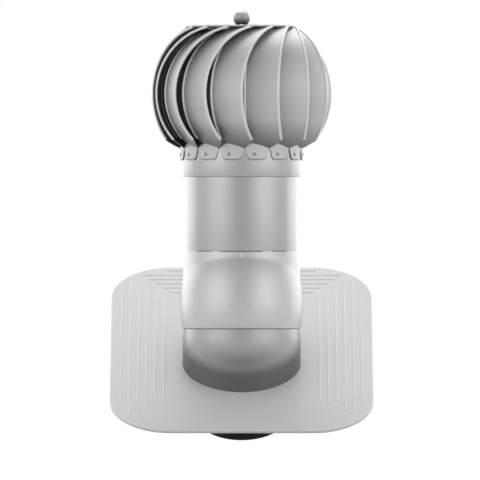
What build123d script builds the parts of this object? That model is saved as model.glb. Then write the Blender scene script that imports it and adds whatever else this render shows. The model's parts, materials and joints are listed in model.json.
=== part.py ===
from build123d import *
from math import acos, asin, cos, degrees, radians, sin, sqrt
import os

os.makedirs("parts", exist_ok=True)

# Rotating chimney cowl on a tilting hood, in millimetres.
# +Z runs up the stack pipe, +Y runs uphill and X lies along the roof's ridge.
# The origin is where the duct spigot's axis meets the underside of the roof plate.

# Roof plate
roof_pitch = 30.0
plate_width = 350.0
plate_downhill = 178.5
plate_uphill = 252.0
plate_corner_r = 80.0
plate_t = 4.0
plate_edge_r = 1.5

# Raised ribs on the plate, in a mitred frame round three sides
rib_width = 2.4
rib_height = 1.0
rib_count = 6
rib_pitch = 11.45
rib_step = 9.5
side_rib_margin = 14.0
side_rib_downhill_margin = 41.5
side_rib_uphill_margin = 36.0
outer_side_rib_downhill_margin = 74.5
outer_side_rib_uphill_margin = 67.0
top_rib_margin = 9.6
top_rib_side_margin = 40.8
outer_top_rib_side_margin = 74.1

# Dome and neck, one piece with the plate
dome_r = 78.7
dome_wall = 2.5
dome_centre_height = 36.4
dome_mouth_half_angle = 45.0

# Ledge inside the neck that the spigot is screwed to
flange_t = 4.0
ledge_t = 4.0
ledge_width = 12.2

# Duct spigot
spigot_r = 60.0
spigot_wall = 2.5
spigot_length = 82.0
spigot_lead_in = 1.0
spigot_screw_count = 4
spigot_screw_azimuth = 45.0
spigot_screw_r = 2.0
spigot_screw_head_r = 4.2
spigot_screw_length = 11.0

# Stack pipe
pipe_r = 75.0
pipe_wall = 1.0
pipe_offset = 9.1
pipe_top_z = 288.0

# Hood: a socket for the pipe above a bulge that rides on the dome
lowest_pitch = 5.0
highest_pitch = 40.0
hood_wall = 2.0
dome_clearance = 1.0
bulge_height_share = 1.525
bulge_rise_share = 0.577
hood_rim_share = 0.2173
socket_above_bulge = 7.14
socket_top_r = 76.5
socket_foot_r = 78.4
socket_taper_height = 33.9
socket_gap = 0.3
socket_depth = 39.9
stop_t = 3.0
stop_bore_r = 71.0
relief_start = 20.0
relief_angle = 13.4

# Notches in the socket's rim and the index mark under them
notch_count = 13
notch_spread = 40.0
notch_width = 2.2
notch_depth = 1.2
index_bar_width = 1.2
index_bar_height = 6.2
index_bar_spacing = 2.6
index_bar_proud = 0.7
index_bar_drop = 3.0

# Clamp screws that lock the hood on the dome
clamp_azimuth = 115.0
clamp_polar = 68.0
clamp_screw_r = 2.5
clamp_head_r = 5.0
clamp_head_t = 3.0
clamp_boss_r = 6.5
clamp_boss_proud = 2.26
clamp_washer_r = 6.0
clamp_washer_t = 1.2
clamp_nut_r = 4.4
clamp_nut_t = 4.0
clamp_thread_end = 1.5
clamp_gap = 0.3
boss_gap = 0.5

# Collar ring at the rotor's foot
collar_r = 80.5
collar_wall = 1.0
collar_foot_z = 250.9
collar_top_z = 290.5

# Vanes
vane_count = 15
rotor_r = 120.0
vane_arc_r = 91.3
vane_sheet_t = 1.0
vane_azimuth = 0.5
vane_plane_skew = 35.0
vane_chord = 48.0
vane_chord_tilt = 25.4
vane_head_angle = 84.0
hem_width = 4.0
hem_proud = 0.5

# Trims of the vane's corners: "in" runs along the arc's plane from the rim, "back" runs
# outwards from the arc's centre, and "along" runs along the chord
foot_corner_in = 25.0
foot_notch_in = 36.8
foot_notch_along = 20.4
foot_inner_in = 24.0
foot_peak_in = 29.0
foot_peak_along = 41.0
foot_spare = 0.84
head_taper_back = 41.3
head_tab_back = 27.3
head_tab_along = 24.0
head_drop = 1.2
trim_margin = 12.0
edge_spare = 1.0

# Foot tab of a vane, lying on the collar
tab_azimuth = -9.3
tab_half_width = 16.6
tab_notch_z = 289.0
tab_notch_lap = 1.35
tab_peak_x = -7.0
tab_peak_lap = 0.64
tab_foot_z = 272.2
tab_foot_half = 11.5
tab_corner_r = 5.0
tab_gap = 0.1
tab_rivet_azimuth = -12.0
tab_rivet_z = 280.0

# Head tab of a vane, lying under the disc
head_rivet_azimuth = 24.0
head_rivet_circle_r = 45.0
head_tab_tip_r = 6.5
head_tab_root_r = 8.0
head_tab_root_back = 15.3
head_tab_root_along = 11.0

# Rivets
rivet_r = 1.5
rivet_head_r = 2.5
rivet_head_crown_r = 1.3
rivet_head_h = 1.3
rivet_tail_r = 2.2
rivet_tail_h = 0.8
rivet_gap = 0.1
rivet_tail_gap = 0.05

# Disc on top of the rotor
disc_r = 70.7
disc_t = 1.0

# Shaft, hub, washer and knob
shaft_r = 5.0
shaft_foot_z = 229.0
thread_r = 4.0
thread_length = 17.0
shaft_chamfer = 0.8
hub_r = 22.0
hub_plate_t = 2.0
hub_boss_r = 9.0
hub_boss_h = 12.0
washer_r = 8.5
washer_t = 1.0
knob_r = 11.0
knob_flat_r = 7.0
knob_bore_spare = 1.0
fit_gap = 0.03

# Bearings and circlips
bearing_r = 15.0
bearing_h = 9.0
ball_r = 2.25
ball_count = 7
ball_gap = 0.05
ring_land = 1.75
lower_bearing_z = 236.0
upper_bearing_z = 273.0
circlip_t = 1.2
circlip_r = 7.0
circlip_groove = 0.5
circlip_mouth = 5.0

# Bearing housing and its bracket
housing_wall = 2.0
housing_foot_z = 232.0
housing_top_z = 286.0
housing_bore_r = 12.5
lip_r = 21.0
lip_t = 3.0
bracket_foot_z = 258.0
bracket_h = 18.0
bracket_sheet_t = 2.2
sleeve_wall = 2.0
arm_count = 3
first_arm_azimuth = 180.0
foot_width = 22.0
bracket_rivet_rise = 4.5

# How far a cutter reaches past the wall that it goes through
cut_reach = 10.0
full_turn = 360.0
half_turn = 180.0
right_angle = 90.0

# Places worked out from the sizes above
up = (0, 0, 1)
on_plane = (Align.CENTER, Align.CENTER, Align.MIN)
under_plane = (Align.CENTER, Align.CENTER, Align.MAX)
roof_normal = Vector(0, -sin(radians(roof_pitch)), cos(radians(roof_pitch)))
roof = Plane(origin=(0, 0, 0), x_dir=(1, 0, 0), z_dir=roof_normal)
dome_centre = roof_normal * dome_centre_height
dome_in_r = dome_r - dome_wall
ledge_bore_r = dome_in_r - ledge_width
spigot_screw_circle_r = dome_in_r - ledge_width / 2
bulge_r = dome_r + dome_clearance + hood_wall
bulge_half_height = bulge_height_share * dome_r
pipe_y = dome_centre.Y + pipe_offset
pipe_axis = Axis((0, pipe_y, 0), up)
bulge_axis = Axis((0, dome_centre.Y, 0), up)
tilt_axis = Axis(dome_centre, (1, 0, 0))


def level(z, spot=Vector(0, 0, 0)):
    """A level plane at height z, centred on a spot measured from the pipe's axis."""
    return Plane(origin=Vector(0, pipe_y, z) + spot, x_dir=(1, 0, 0), z_dir=up)


def outward(azimuth):
    """A level direction, with azimuth 0 downhill and +90 towards +X."""
    return Vector(sin(radians(azimuth)), -cos(radians(azimuth)), 0)


def radial_plane(radius, azimuth, z):
    """A plane that faces outwards from the pipe's axis."""
    place = Vector(0, pipe_y, z) + outward(azimuth) * radius
    return Plane(origin=place, x_dir=outward(azimuth + right_angle), z_dir=outward(azimuth))


def finish(builder, label):
    """Name a finished piece and write it."""
    builder.part.label = label
    export_step(builder.part, f"parts/{label}.step")


# The clamp screws point at the dome's centre, so each slot is a sweep about the tilt axis.
# Their bosses stand proud of whichever of the socket and the bulge reaches further there.
clamp_level = sin(radians(clamp_polar))
clamp_side = clamp_level * sin(radians(clamp_azimuth))
clamp_back = -clamp_level * cos(radians(clamp_azimuth))
clamp_rise = cos(radians(clamp_polar))
socket_shift = clamp_back * pipe_offset / clamp_level
socket_chord = sqrt(socket_foot_r ** 2 - pipe_offset ** 2 + socket_shift ** 2)
clamp_boss_end = max((socket_shift + socket_chord) / clamp_level, bulge_r) + clamp_boss_proud
clamp_seat = sqrt(dome_in_r ** 2 - clamp_washer_r ** 2) - clamp_gap
clamp_slot_r = clamp_screw_r + clamp_gap
tilt_down = roof_pitch - highest_pitch
tilt_up = roof_pitch - lowest_pitch


def clamp_plane(side, distance, tilt=0.0):
    """A plane across a clamp screw, at a distance from the dome's centre."""
    direction = Vector(side * clamp_side, clamp_back, clamp_rise).rotate(Axis.X, tilt)
    return Plane(origin=dome_centre + direction * distance, z_dir=direction)


# Base plate with its neck, dome and ribs
plate_length = plate_downhill + plate_uphill
plate_middle = (plate_uphill - plate_downhill) / 2
mouth_tilt = roof_pitch - (lowest_pitch + highest_pitch) / 2
mouth_r = dome_r * sin(radians(dome_mouth_half_angle))

with BuildPart() as base_plate:
    with BuildSketch(roof):
        with Locations((0, plate_middle)):
            RectangleRounded(plate_width, plate_length, plate_corner_r)
    extrude(amount=plate_t)
    plate_top = base_plate.faces().sort_by(Axis((0, 0, 0), roof_normal))[-1]
    fillet(plate_top.edges(), plate_edge_r)
    with BuildSketch(roof.offset(plate_t)):
        for rib in range(rib_count):
            step = (rib - 1) * rib_step
            low_margin = side_rib_downhill_margin + step if rib else outer_side_rib_downhill_margin
            high_margin = side_rib_uphill_margin + step if rib else outer_side_rib_uphill_margin
            side_margin = top_rib_side_margin + step if rib else outer_top_rib_side_margin
            low = low_margin - plate_downhill
            high = plate_uphill - high_margin
            rib_x = plate_width / 2 - side_rib_margin - rib * rib_pitch
            with Locations((rib_x, (low + high) / 2), (-rib_x, (low + high) / 2)):
                SlotOverall(high - low, rib_width, rotation=90)
            with Locations((0, plate_uphill - top_rib_margin - rib * rib_pitch)):
                SlotOverall(plate_width - 2 * side_margin, rib_width)
    extrude(amount=rib_height)
    with BuildSketch(roof):
        Circle(dome_r)
    extrude(amount=dome_centre_height)
    with Locations(roof.offset(dome_centre_height)):
        Sphere(dome_r, arc_size1=0, align=on_plane)
        Sphere(dome_in_r, arc_size1=0, align=on_plane, mode=Mode.SUBTRACT)
    with BuildSketch(roof):
        Circle(dome_in_r)
    extrude(amount=dome_centre_height, mode=Mode.SUBTRACT)
    with BuildSketch(roof.offset(flange_t)):
        Circle(dome_in_r + dome_wall / 2)
        Circle(ledge_bore_r, mode=Mode.SUBTRACT)
        with PolarLocations(spigot_screw_circle_r, spigot_screw_count, start_angle=spigot_screw_azimuth):
            Circle(spigot_screw_r + fit_gap, mode=Mode.SUBTRACT)
    extrude(amount=ledge_t)
    mouth_axis = Vector(0, 0, 1).rotate(Axis.X, mouth_tilt)
    with BuildSketch(Plane(origin=dome_centre, x_dir=(1, 0, 0), z_dir=mouth_axis)):
        Circle(mouth_r)
    extrude(amount=dome_r, mode=Mode.SUBTRACT)
    for side in (1, -1):
        across = clamp_plane(side, 0, tilt_down).z_dir
        sweep_normal = Vector(1, 0, 0).cross(across).normalized()
        slot_plane = Plane(origin=dome_centre, x_dir=across, z_dir=sweep_normal)
        with BuildSketch(slot_plane):
            with Locations(((dome_in_r + dome_r) / 2, 0)):
                Rectangle(cut_reach, 2 * clamp_slot_r)
        revolve(axis=tilt_axis, revolution_arc=tilt_up - tilt_down, mode=Mode.SUBTRACT)
        with Locations(
            clamp_plane(side, dome_r, tilt_down),
            clamp_plane(side, dome_r, tilt_up),
        ):
            Cylinder(clamp_slot_r, cut_reach, mode=Mode.SUBTRACT)
finish(base_plate, "base_plate")

# Duct spigot: its flange sits inside the neck, flush with the plate's underside
flange_r = dome_in_r - clamp_gap
countersink_h = spigot_screw_head_r - spigot_screw_r
with BuildPart() as duct_spigot:
    with BuildSketch(roof):
        Circle(flange_r)
    extrude(amount=flange_t)
    with BuildSketch(roof):
        Circle(spigot_r)
    extrude(amount=-spigot_length)
    spigot_rim = duct_spigot.faces().sort_by(Axis((0, 0, 0), roof_normal))[0]
    chamfer(spigot_rim.edges(), spigot_lead_in)
    with BuildSketch(roof.offset(-spigot_length)):
        Circle(spigot_r - spigot_wall)
    extrude(amount=spigot_length + flange_t, mode=Mode.SUBTRACT)
    with Locations(roof):
        with PolarLocations(spigot_screw_circle_r, spigot_screw_count, start_angle=spigot_screw_azimuth):
            Cylinder(
                spigot_screw_r + fit_gap,
                flange_t,
                align=on_plane,
                mode=Mode.SUBTRACT,
            )
            Cone(
                spigot_screw_head_r + fit_gap,
                spigot_screw_r + fit_gap,
                countersink_h,
                align=on_plane,
                mode=Mode.SUBTRACT,
            )
finish(duct_spigot, "duct_spigot")

with BuildPart() as spigot_screws:
    with Locations(roof):
        with PolarLocations(spigot_screw_circle_r, spigot_screw_count, start_angle=spigot_screw_azimuth):
            Cylinder(spigot_screw_r, spigot_screw_length, align=on_plane)
            Cone(spigot_screw_head_r, spigot_screw_r, countersink_h, align=on_plane)
finish(spigot_screws, "spigot_screws")

# Hood: the bulge stands proud of the socket in front, and its rim rides just off the dome
rim_z = dome_centre.Z + hood_rim_share * dome_r
bulge_z = dome_centre.Z + bulge_rise_share * dome_r
bulge_meets_socket = sqrt(1 - ((socket_top_r - pipe_offset) / bulge_r) ** 2)
socket_top_z = bulge_z + bulge_half_height * bulge_meets_socket + socket_above_bulge
stop_z = socket_top_z - socket_depth
taper_foot_z = socket_top_z - socket_taper_height
socket_bore_r = pipe_r + socket_gap
notch_start = -right_angle - notch_spread / 2
index_z = socket_top_z - index_bar_drop - index_bar_height / 2
relief_plane = Plane(
    origin=(0, dome_centre.Y + relief_start, rim_z),
    x_dir=(1, 0, 0),
    z_dir=(0, -sin(radians(relief_angle)), cos(radians(relief_angle))),
)

with BuildPart() as hood:
    with BuildSketch(Plane.XZ.offset(-dome_centre.Y)):
        with BuildLine():
            EllipticalCenterArc(
                (0, bulge_z), bulge_r, bulge_half_height, start_angle=-right_angle, arc_size=half_turn
            )
            Line((0, bulge_z + bulge_half_height), (0, bulge_z - bulge_half_height))
        make_face()
    revolve(axis=bulge_axis)
    with BuildSketch(Plane.XZ.offset(-pipe_y)):
        with BuildLine():
            Polyline(
                (0, dome_centre.Z),
                (socket_foot_r, dome_centre.Z),
                (socket_foot_r, taper_foot_z),
                (socket_top_r, socket_top_z),
                (0, socket_top_z),
                close=True,
            )
        make_face()
    revolve(axis=pipe_axis)
    with BuildSketch(Plane.XZ.offset(-dome_centre.Y)):
        with BuildLine():
            EllipticalCenterArc(
                (0, bulge_z),
                bulge_r - hood_wall,
                bulge_half_height - hood_wall,
                start_angle=-right_angle,
                arc_size=half_turn,
            )
            Line(
                (0, bulge_z + bulge_half_height - hood_wall),
                (0, bulge_z - bulge_half_height + hood_wall),
            )
        make_face()
    revolve(axis=bulge_axis, mode=Mode.SUBTRACT)
    with BuildSketch(level(dome_centre.Z)):
        Circle(socket_foot_r - hood_wall)
    extrude(amount=stop_z - dome_centre.Z, mode=Mode.SUBTRACT)
    with BuildSketch(level(stop_z)):
        Circle(socket_bore_r)
    extrude(amount=bulge_half_height, mode=Mode.SUBTRACT)
    with BuildSketch(level(stop_z - stop_t)):
        Circle(socket_foot_r - hood_wall / 2)
        Circle(stop_bore_r, mode=Mode.SUBTRACT)
    extrude(amount=stop_t)
    split(bisect_by=Plane.XY.offset(socket_top_z), keep=Keep.BOTTOM)
    split(bisect_by=Plane.XY.offset(rim_z), keep=Keep.TOP)
    split(bisect_by=relief_plane, keep=Keep.TOP)
    for side in (1, -1):
        with BuildSketch(clamp_plane(side, dome_r + boss_gap)):
            Circle(clamp_boss_r)
        extrude(amount=clamp_boss_end - dome_r - boss_gap)
        with BuildSketch(clamp_plane(side, dome_r)):
            Circle(clamp_screw_r + fit_gap)
        extrude(amount=clamp_boss_end, mode=Mode.SUBTRACT)
    with Locations(level(socket_top_z)):
        with PolarLocations(
            socket_top_r, notch_count, start_angle=notch_start, angular_range=notch_spread
        ):
            Box(cut_reach, notch_width, 2 * notch_depth, mode=Mode.SUBTRACT)
    for side in (1, -1):
        bar_y = pipe_y - socket_top_r - index_bar_proud
        with Locations((side * index_bar_spacing / 2, bar_y, index_z)):
            Box(
                index_bar_width,
                2 * index_bar_proud,
                index_bar_height,
                align=(Align.CENTER, Align.MIN, Align.CENTER),
            )
finish(hood, "hood")

with BuildPart() as clamp_screws:
    for side in (1, -1):
        with BuildSketch(clamp_plane(side, clamp_boss_end)):
            Circle(clamp_head_r)
        extrude(amount=clamp_head_t)
        thread_depth = clamp_boss_end - clamp_seat + clamp_washer_t + clamp_nut_t + clamp_thread_end
        with BuildSketch(clamp_plane(side, clamp_boss_end)):
            Circle(clamp_screw_r)
        extrude(amount=-thread_depth)
finish(clamp_screws, "clamp_screws")

with BuildPart() as clamp_washers:
    for side in (1, -1):
        with BuildSketch(clamp_plane(side, clamp_seat)):
            Circle(clamp_washer_r)
            Circle(clamp_screw_r + fit_gap, mode=Mode.SUBTRACT)
        extrude(amount=-clamp_washer_t)
finish(clamp_washers, "clamp_washers")

with BuildPart() as clamp_nuts:
    for side in (1, -1):
        with BuildSketch(clamp_plane(side, clamp_seat - clamp_washer_t)):
            RegularPolygon(clamp_nut_r, 6)
            Circle(clamp_screw_r + fit_gap, mode=Mode.SUBTRACT)
        extrude(amount=-clamp_nut_t)
finish(clamp_nuts, "clamp_nuts")

# Bracket arms point downhill-left, downhill-right and uphill
pipe_bore_r = pipe_r - pipe_wall
arm_azimuths = [first_arm_azimuth + arm * full_turn / arm_count for arm in range(arm_count)]
arm_start = first_arm_azimuth - right_angle
foot_r = pipe_bore_r - fit_gap
foot_azimuth_step = degrees(asin(foot_width / 2 / foot_r))
bracket_rivet_planes = [
    radial_plane(pipe_r, azimuth + foot_azimuth_step, bracket_foot_z + bracket_h / 2 + rise)
    for azimuth in arm_azimuths
    for rise in (-bracket_rivet_rise, bracket_rivet_rise)
]

with BuildPart() as stack_pipe:
    with BuildSketch(level(stop_z)):
        Circle(pipe_r)
        Circle(pipe_bore_r, mode=Mode.SUBTRACT)
    extrude(amount=pipe_top_z - stop_z)
    with Locations(*bracket_rivet_planes):
        Cylinder(rivet_r + rivet_gap, cut_reach, mode=Mode.SUBTRACT)
finish(stack_pipe, "stack_pipe")

# Bearing housing: a turned tube with a seat at each end and a lip that rests on the bracket
housing_r = bearing_r + housing_wall
lower_seat_z = lower_bearing_z + bearing_h
bracket_top_z = bracket_foot_z + bracket_h
with BuildPart() as bearing_housing:
    with BuildSketch(level(housing_foot_z)):
        Circle(housing_r)
    extrude(amount=housing_top_z - housing_foot_z)
    with BuildSketch(level(bracket_top_z)):
        Circle(lip_r)
    extrude(amount=lip_t)
    with BuildSketch(level(housing_foot_z)):
        Circle(housing_bore_r)
    extrude(amount=housing_top_z - housing_foot_z, mode=Mode.SUBTRACT)
    with BuildSketch(level(housing_foot_z)):
        Circle(bearing_r + fit_gap)
    extrude(amount=lower_seat_z - housing_foot_z, mode=Mode.SUBTRACT)
    with BuildSketch(level(upper_bearing_z)):
        Circle(bearing_r + fit_gap)
    extrude(amount=housing_top_z - upper_bearing_z, mode=Mode.SUBTRACT)
finish(bearing_housing, "bearing_housing")

sleeve_r = housing_r + fit_gap + sleeve_wall
with BuildPart() as bearing_bracket:
    with BuildSketch(level(bracket_foot_z)) as bracket_plan:
        Circle(sleeve_r)
        with PolarLocations(0, arm_count, start_angle=arm_start):
            Rectangle(foot_r - bracket_sheet_t / 2, bracket_sheet_t, align=(Align.MIN, Align.CENTER))
        Circle(housing_r + fit_gap, mode=Mode.SUBTRACT)
    extrude(amount=bracket_h)
    with BuildSketch(level(bracket_foot_z)) as feet_plan:
        with PolarLocations(0, arm_count, start_angle=arm_start):
            with Locations((foot_r / 2, -bracket_sheet_t / 2)):
                Rectangle(foot_r, foot_width, align=(Align.MIN, Align.MIN))
        Circle(foot_r, mode=Mode.INTERSECT)
        Circle(foot_r - bracket_sheet_t, mode=Mode.SUBTRACT)
    extrude(amount=bracket_h)
    with Locations(*bracket_rivet_planes):
        Cylinder(rivet_r + rivet_gap, cut_reach, mode=Mode.SUBTRACT)
finish(bearing_bracket, "bearing_bracket")


def rivet(planes, grip):
    """Rivets with their heads on the given planes and their tails a grip below."""
    depth = grip + rivet_tail_gap
    with Locations(*planes):
        Cone(rivet_head_r, rivet_head_crown_r, rivet_head_h, align=on_plane)
        Cylinder(rivet_r, depth, align=under_plane)
    with Locations(*[plane.offset(-depth) for plane in planes]):
        Cylinder(rivet_tail_r, rivet_tail_h, align=under_plane)


with BuildPart() as bracket_rivets:
    rivet(bracket_rivet_planes, pipe_wall + fit_gap + bracket_sheet_t)
finish(bracket_rivets, "bracket_rivets")

# Bearings: the rings' grooves and the balls share one pitch circle
pitch_r = (shaft_r + bearing_r) / 2
groove_r = ball_r + ball_gap


def bearing(name, foot_z):
    """One ball bearing as an outer ring, an inner ring and its balls."""
    middle_z = foot_z + bearing_h / 2
    with BuildPart() as outer_ring:
        with BuildSketch(level(foot_z)):
            Circle(bearing_r)
            Circle(pitch_r + ring_land, mode=Mode.SUBTRACT)
        extrude(amount=bearing_h)
        with Locations(level(middle_z)):
            Torus(pitch_r, groove_r, mode=Mode.SUBTRACT)
    finish(outer_ring, f"{name}_outer_ring")
    with BuildPart() as inner_ring:
        with BuildSketch(level(foot_z)):
            Circle(pitch_r - ring_land)
            Circle(shaft_r + fit_gap, mode=Mode.SUBTRACT)
        extrude(amount=bearing_h)
        with Locations(level(middle_z)):
            Torus(pitch_r, groove_r, mode=Mode.SUBTRACT)
    finish(inner_ring, f"{name}_inner_ring")
    with BuildPart() as balls:
        with Locations(level(middle_z)):
            with PolarLocations(pitch_r, ball_count):
                Sphere(ball_r)
    finish(balls, f"{name}_balls")


bearing("upper_bearing", upper_bearing_z)
bearing("lower_bearing", lower_bearing_z)


def arc_rise(inward):
    """How far from the rotor's middle height the vane's arc is, a distance in from its rim."""
    return sqrt(vane_arc_r ** 2 - (vane_arc_r - inward) ** 2)


# The rotor stands on the collar, so its heights follow from the vanes' arc
rotor_mid_z = tab_notch_z - tab_notch_lap + arc_rise(foot_notch_in)
disc_underside_z = rotor_mid_z + vane_arc_r - head_drop

# Shaft with a circlip groove outside each bearing and a threaded end for the knob
groove_floor_r = shaft_r - circlip_groove
hub_foot_z = disc_underside_z - hub_plate_t
upper_clip_z = upper_bearing_z + bearing_h
lower_clip_z = lower_bearing_z - circlip_t
with BuildPart() as shaft:
    with BuildSketch(level(shaft_foot_z)):
        Circle(shaft_r)
    extrude(amount=hub_foot_z - shaft_foot_z)
    chamfer(shaft.faces().sort_by(Axis.Z)[0].edges(), shaft_chamfer)
    with BuildSketch(level(hub_foot_z)):
        Circle(thread_r)
    extrude(amount=thread_length)
    chamfer(shaft.faces().sort_by(Axis.Z)[-1].edges(), shaft_chamfer)
    for clip_z in (upper_clip_z, lower_clip_z):
        with BuildSketch(level(clip_z)):
            Circle(shaft_r)
            Circle(groove_floor_r, mode=Mode.SUBTRACT)
        extrude(amount=circlip_t, mode=Mode.SUBTRACT)
finish(shaft, "shaft")


def circlip(name, foot_z):
    """An open spring ring in a groove of the shaft."""
    with BuildPart() as ring:
        with BuildSketch(level(foot_z)):
            Circle(circlip_r)
            Circle(groove_floor_r + fit_gap, mode=Mode.SUBTRACT)
            Rectangle(circlip_r, circlip_mouth, align=(Align.MIN, Align.CENTER), mode=Mode.SUBTRACT)
        extrude(amount=circlip_t)
    finish(ring, name)


circlip("upper_circlip", upper_clip_z)
circlip("lower_circlip", lower_clip_z)

# Hub: a flanged boss that seats on the shaft's shoulder
with BuildPart() as rotor_hub:
    with BuildSketch(level(hub_foot_z)):
        Circle(hub_r)
    extrude(amount=hub_plate_t)
    with BuildSketch(level(hub_foot_z)):
        Circle(hub_boss_r)
    extrude(amount=-hub_boss_h)
    with BuildSketch(level(hub_foot_z)):
        Circle(shaft_r + fit_gap)
    extrude(amount=-hub_boss_h, mode=Mode.SUBTRACT)
    with BuildSketch(level(hub_foot_z)):
        Circle(thread_r + fit_gap)
    extrude(amount=hub_plate_t, mode=Mode.SUBTRACT)
finish(rotor_hub, "rotor_hub")

# Disc, its rivets, the washer and the knob
head_rivet_angles = [head_rivet_azimuth + k * full_turn / vane_count for k in range(vane_count)]
disc_top_z = disc_underside_z + disc_t
head_rivet_spots = [outward(azimuth) * head_rivet_circle_r for azimuth in head_rivet_angles]
with BuildPart() as top_disc:
    with BuildSketch(level(disc_underside_z)):
        Circle(disc_r)
        Circle(thread_r + fit_gap, mode=Mode.SUBTRACT)
        with Locations(*head_rivet_spots):
            Circle(rivet_r + rivet_gap, mode=Mode.SUBTRACT)
    extrude(amount=disc_t)
finish(top_disc, "top_disc")

with BuildPart() as top_rivets:
    rivet([level(disc_top_z, spot) for spot in head_rivet_spots], disc_t + vane_sheet_t)
finish(top_rivets, "top_rivets")

with BuildPart() as top_washer:
    with BuildSketch(level(disc_top_z)):
        Circle(washer_r)
        Circle(thread_r + fit_gap, mode=Mode.SUBTRACT)
    extrude(amount=washer_t)
finish(top_washer, "top_washer")

knob_foot_z = disc_top_z + washer_t
knob_centre_z = knob_foot_z + sqrt(knob_r ** 2 - knob_flat_r ** 2)
knob_bore_top_z = hub_foot_z + thread_length + knob_bore_spare
with BuildPart() as ball_knob:
    with Locations(level(knob_centre_z)):
        Sphere(knob_r)
    split(bisect_by=Plane.XY.offset(knob_foot_z), keep=Keep.TOP)
    with BuildSketch(level(knob_foot_z)):
        Circle(thread_r + fit_gap)
    extrude(amount=knob_bore_top_z - knob_foot_z, mode=Mode.SUBTRACT)
finish(ball_knob, "ball_knob")

# Collar ring
collar_rivet_planes = [
    radial_plane(collar_r + tab_gap + vane_sheet_t, tab_rivet_azimuth + k * full_turn / vane_count, tab_rivet_z)
    for k in range(vane_count)
]
with BuildPart() as collar_ring:
    with BuildSketch(level(collar_foot_z)):
        Circle(collar_r)
        Circle(collar_r - collar_wall, mode=Mode.SUBTRACT)
    extrude(amount=collar_top_z - collar_foot_z)
    with Locations(*collar_rivet_planes):
        Cylinder(rivet_r + rivet_gap, cut_reach, mode=Mode.SUBTRACT)
finish(collar_ring, "collar_ring")

with BuildPart() as collar_rivets:
    rivet(collar_rivet_planes, vane_sheet_t + tab_gap + collar_wall)
finish(collar_rivets, "collar_rivets")

# Vane: a sheet bent to an arc in an upright plane, and run out sideways along its chord
vane_start = outward(vane_azimuth) * rotor_r
vane_in = outward(half_turn - vane_plane_skew + vane_azimuth)
vane_along = outward(-right_angle - vane_chord_tilt)
vane_foot_angle = degrees(acos(1 - (foot_notch_in + foot_spare) / vane_arc_r))
head_taper_in = vane_arc_r - head_taper_back
head_tab_in = vane_arc_r - head_tab_back
head_tab_root_in = vane_arc_r - head_tab_root_back
tab_peak_z = rotor_mid_z - arc_rise(foot_peak_in) + tab_peak_lap
vane_plane = Plane(
    origin=Vector(0, pipe_y, rotor_mid_z) + vane_start,
    x_dir=vane_in,
    z_dir=vane_in.cross(Vector(0, 0, 1)),
)


def plan(inward, along):
    """A point over the vane, in the level planes centred on the pipe."""
    return vane_start + vane_in * inward + vane_along * along


def arc_band(outer_r, inner_r):
    """The vane's bent section between two radii about its arc's centre."""
    start = half_turn - vane_head_angle
    sweep_angle = vane_head_angle + vane_foot_angle
    with BuildLine() as outline:
        outer = CenterArc((vane_arc_r, 0), outer_r, start, sweep_angle)
        inner = CenterArc((vane_arc_r, 0), inner_r, start, sweep_angle)
        Line(outer @ 0, inner @ 0)
        Line(outer @ 1, inner @ 1)
    make_face(outline.edges())


with BuildPart() as vane_blank:
    with BuildSketch(vane_plane):
        arc_band(vane_arc_r, vane_arc_r - vane_sheet_t)
    extrude(amount=vane_chord, dir=vane_along)
    for hem_start in (0, vane_chord - hem_width):
        hem_plane = Plane(
            origin=vane_plane.origin + vane_along * hem_start,
            x_dir=vane_plane.x_dir,
            z_dir=vane_plane.z_dir,
        )
        with BuildSketch(hem_plane):
            arc_band(vane_arc_r + hem_proud, vane_arc_r - vane_sheet_t - hem_proud)
        extrude(amount=hem_width, dir=vane_along)
    # Outer and inner corners at the foot
    with BuildSketch(level(tab_foot_z)):
        corner_slope = (foot_notch_in - foot_corner_in) / foot_notch_along
        Polygon(
            plan(foot_corner_in - corner_slope * trim_margin, -trim_margin),
            plan(foot_notch_in, foot_notch_along),
            plan(foot_notch_in + trim_margin, foot_notch_along),
            plan(foot_notch_in + trim_margin, -trim_margin),
            align=None,
        )
        Polygon(
            plan(foot_inner_in, vane_chord + edge_spare),
            plan(foot_peak_in, foot_peak_along),
            plan(foot_peak_in + 2 * trim_margin, foot_peak_along),
            plan(foot_peak_in + 2 * trim_margin, vane_chord + trim_margin),
            plan(foot_inner_in, vane_chord + trim_margin),
            align=None,
        )
    extrude(amount=rotor_mid_z - tab_foot_z, mode=Mode.SUBTRACT)
    with BuildSketch(level(tab_foot_z)):
        Circle(collar_r + tab_gap)
    extrude(amount=tab_peak_z - tab_foot_z + trim_margin, mode=Mode.SUBTRACT)
    # Inner corner at the head
    with BuildSketch(level(rotor_mid_z)):
        Polygon(
            plan(head_taper_in, vane_chord + edge_spare),
            plan(head_tab_in, head_tab_along),
            plan(vane_arc_r + trim_margin, head_tab_along),
            plan(vane_arc_r + trim_margin, vane_chord + trim_margin),
            plan(head_taper_in, vane_chord + trim_margin),
            align=None,
        )
    extrude(amount=vane_arc_r + trim_margin, mode=Mode.SUBTRACT)
    split(bisect_by=Plane.XY.offset(disc_underside_z), keep=Keep.BOTTOM)
    # Head tab
    with BuildSketch(level(disc_underside_z)):
        with Locations(outward(head_rivet_azimuth) * head_rivet_circle_r):
            Circle(head_tab_tip_r)
        with Locations(plan(head_tab_root_in, head_tab_root_along)):
            Circle(head_tab_root_r)
        make_hull()
        with Locations(outward(head_rivet_azimuth) * head_rivet_circle_r):
            Circle(rivet_r + rivet_gap, mode=Mode.SUBTRACT)
    extrude(amount=-vane_sheet_t)

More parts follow.
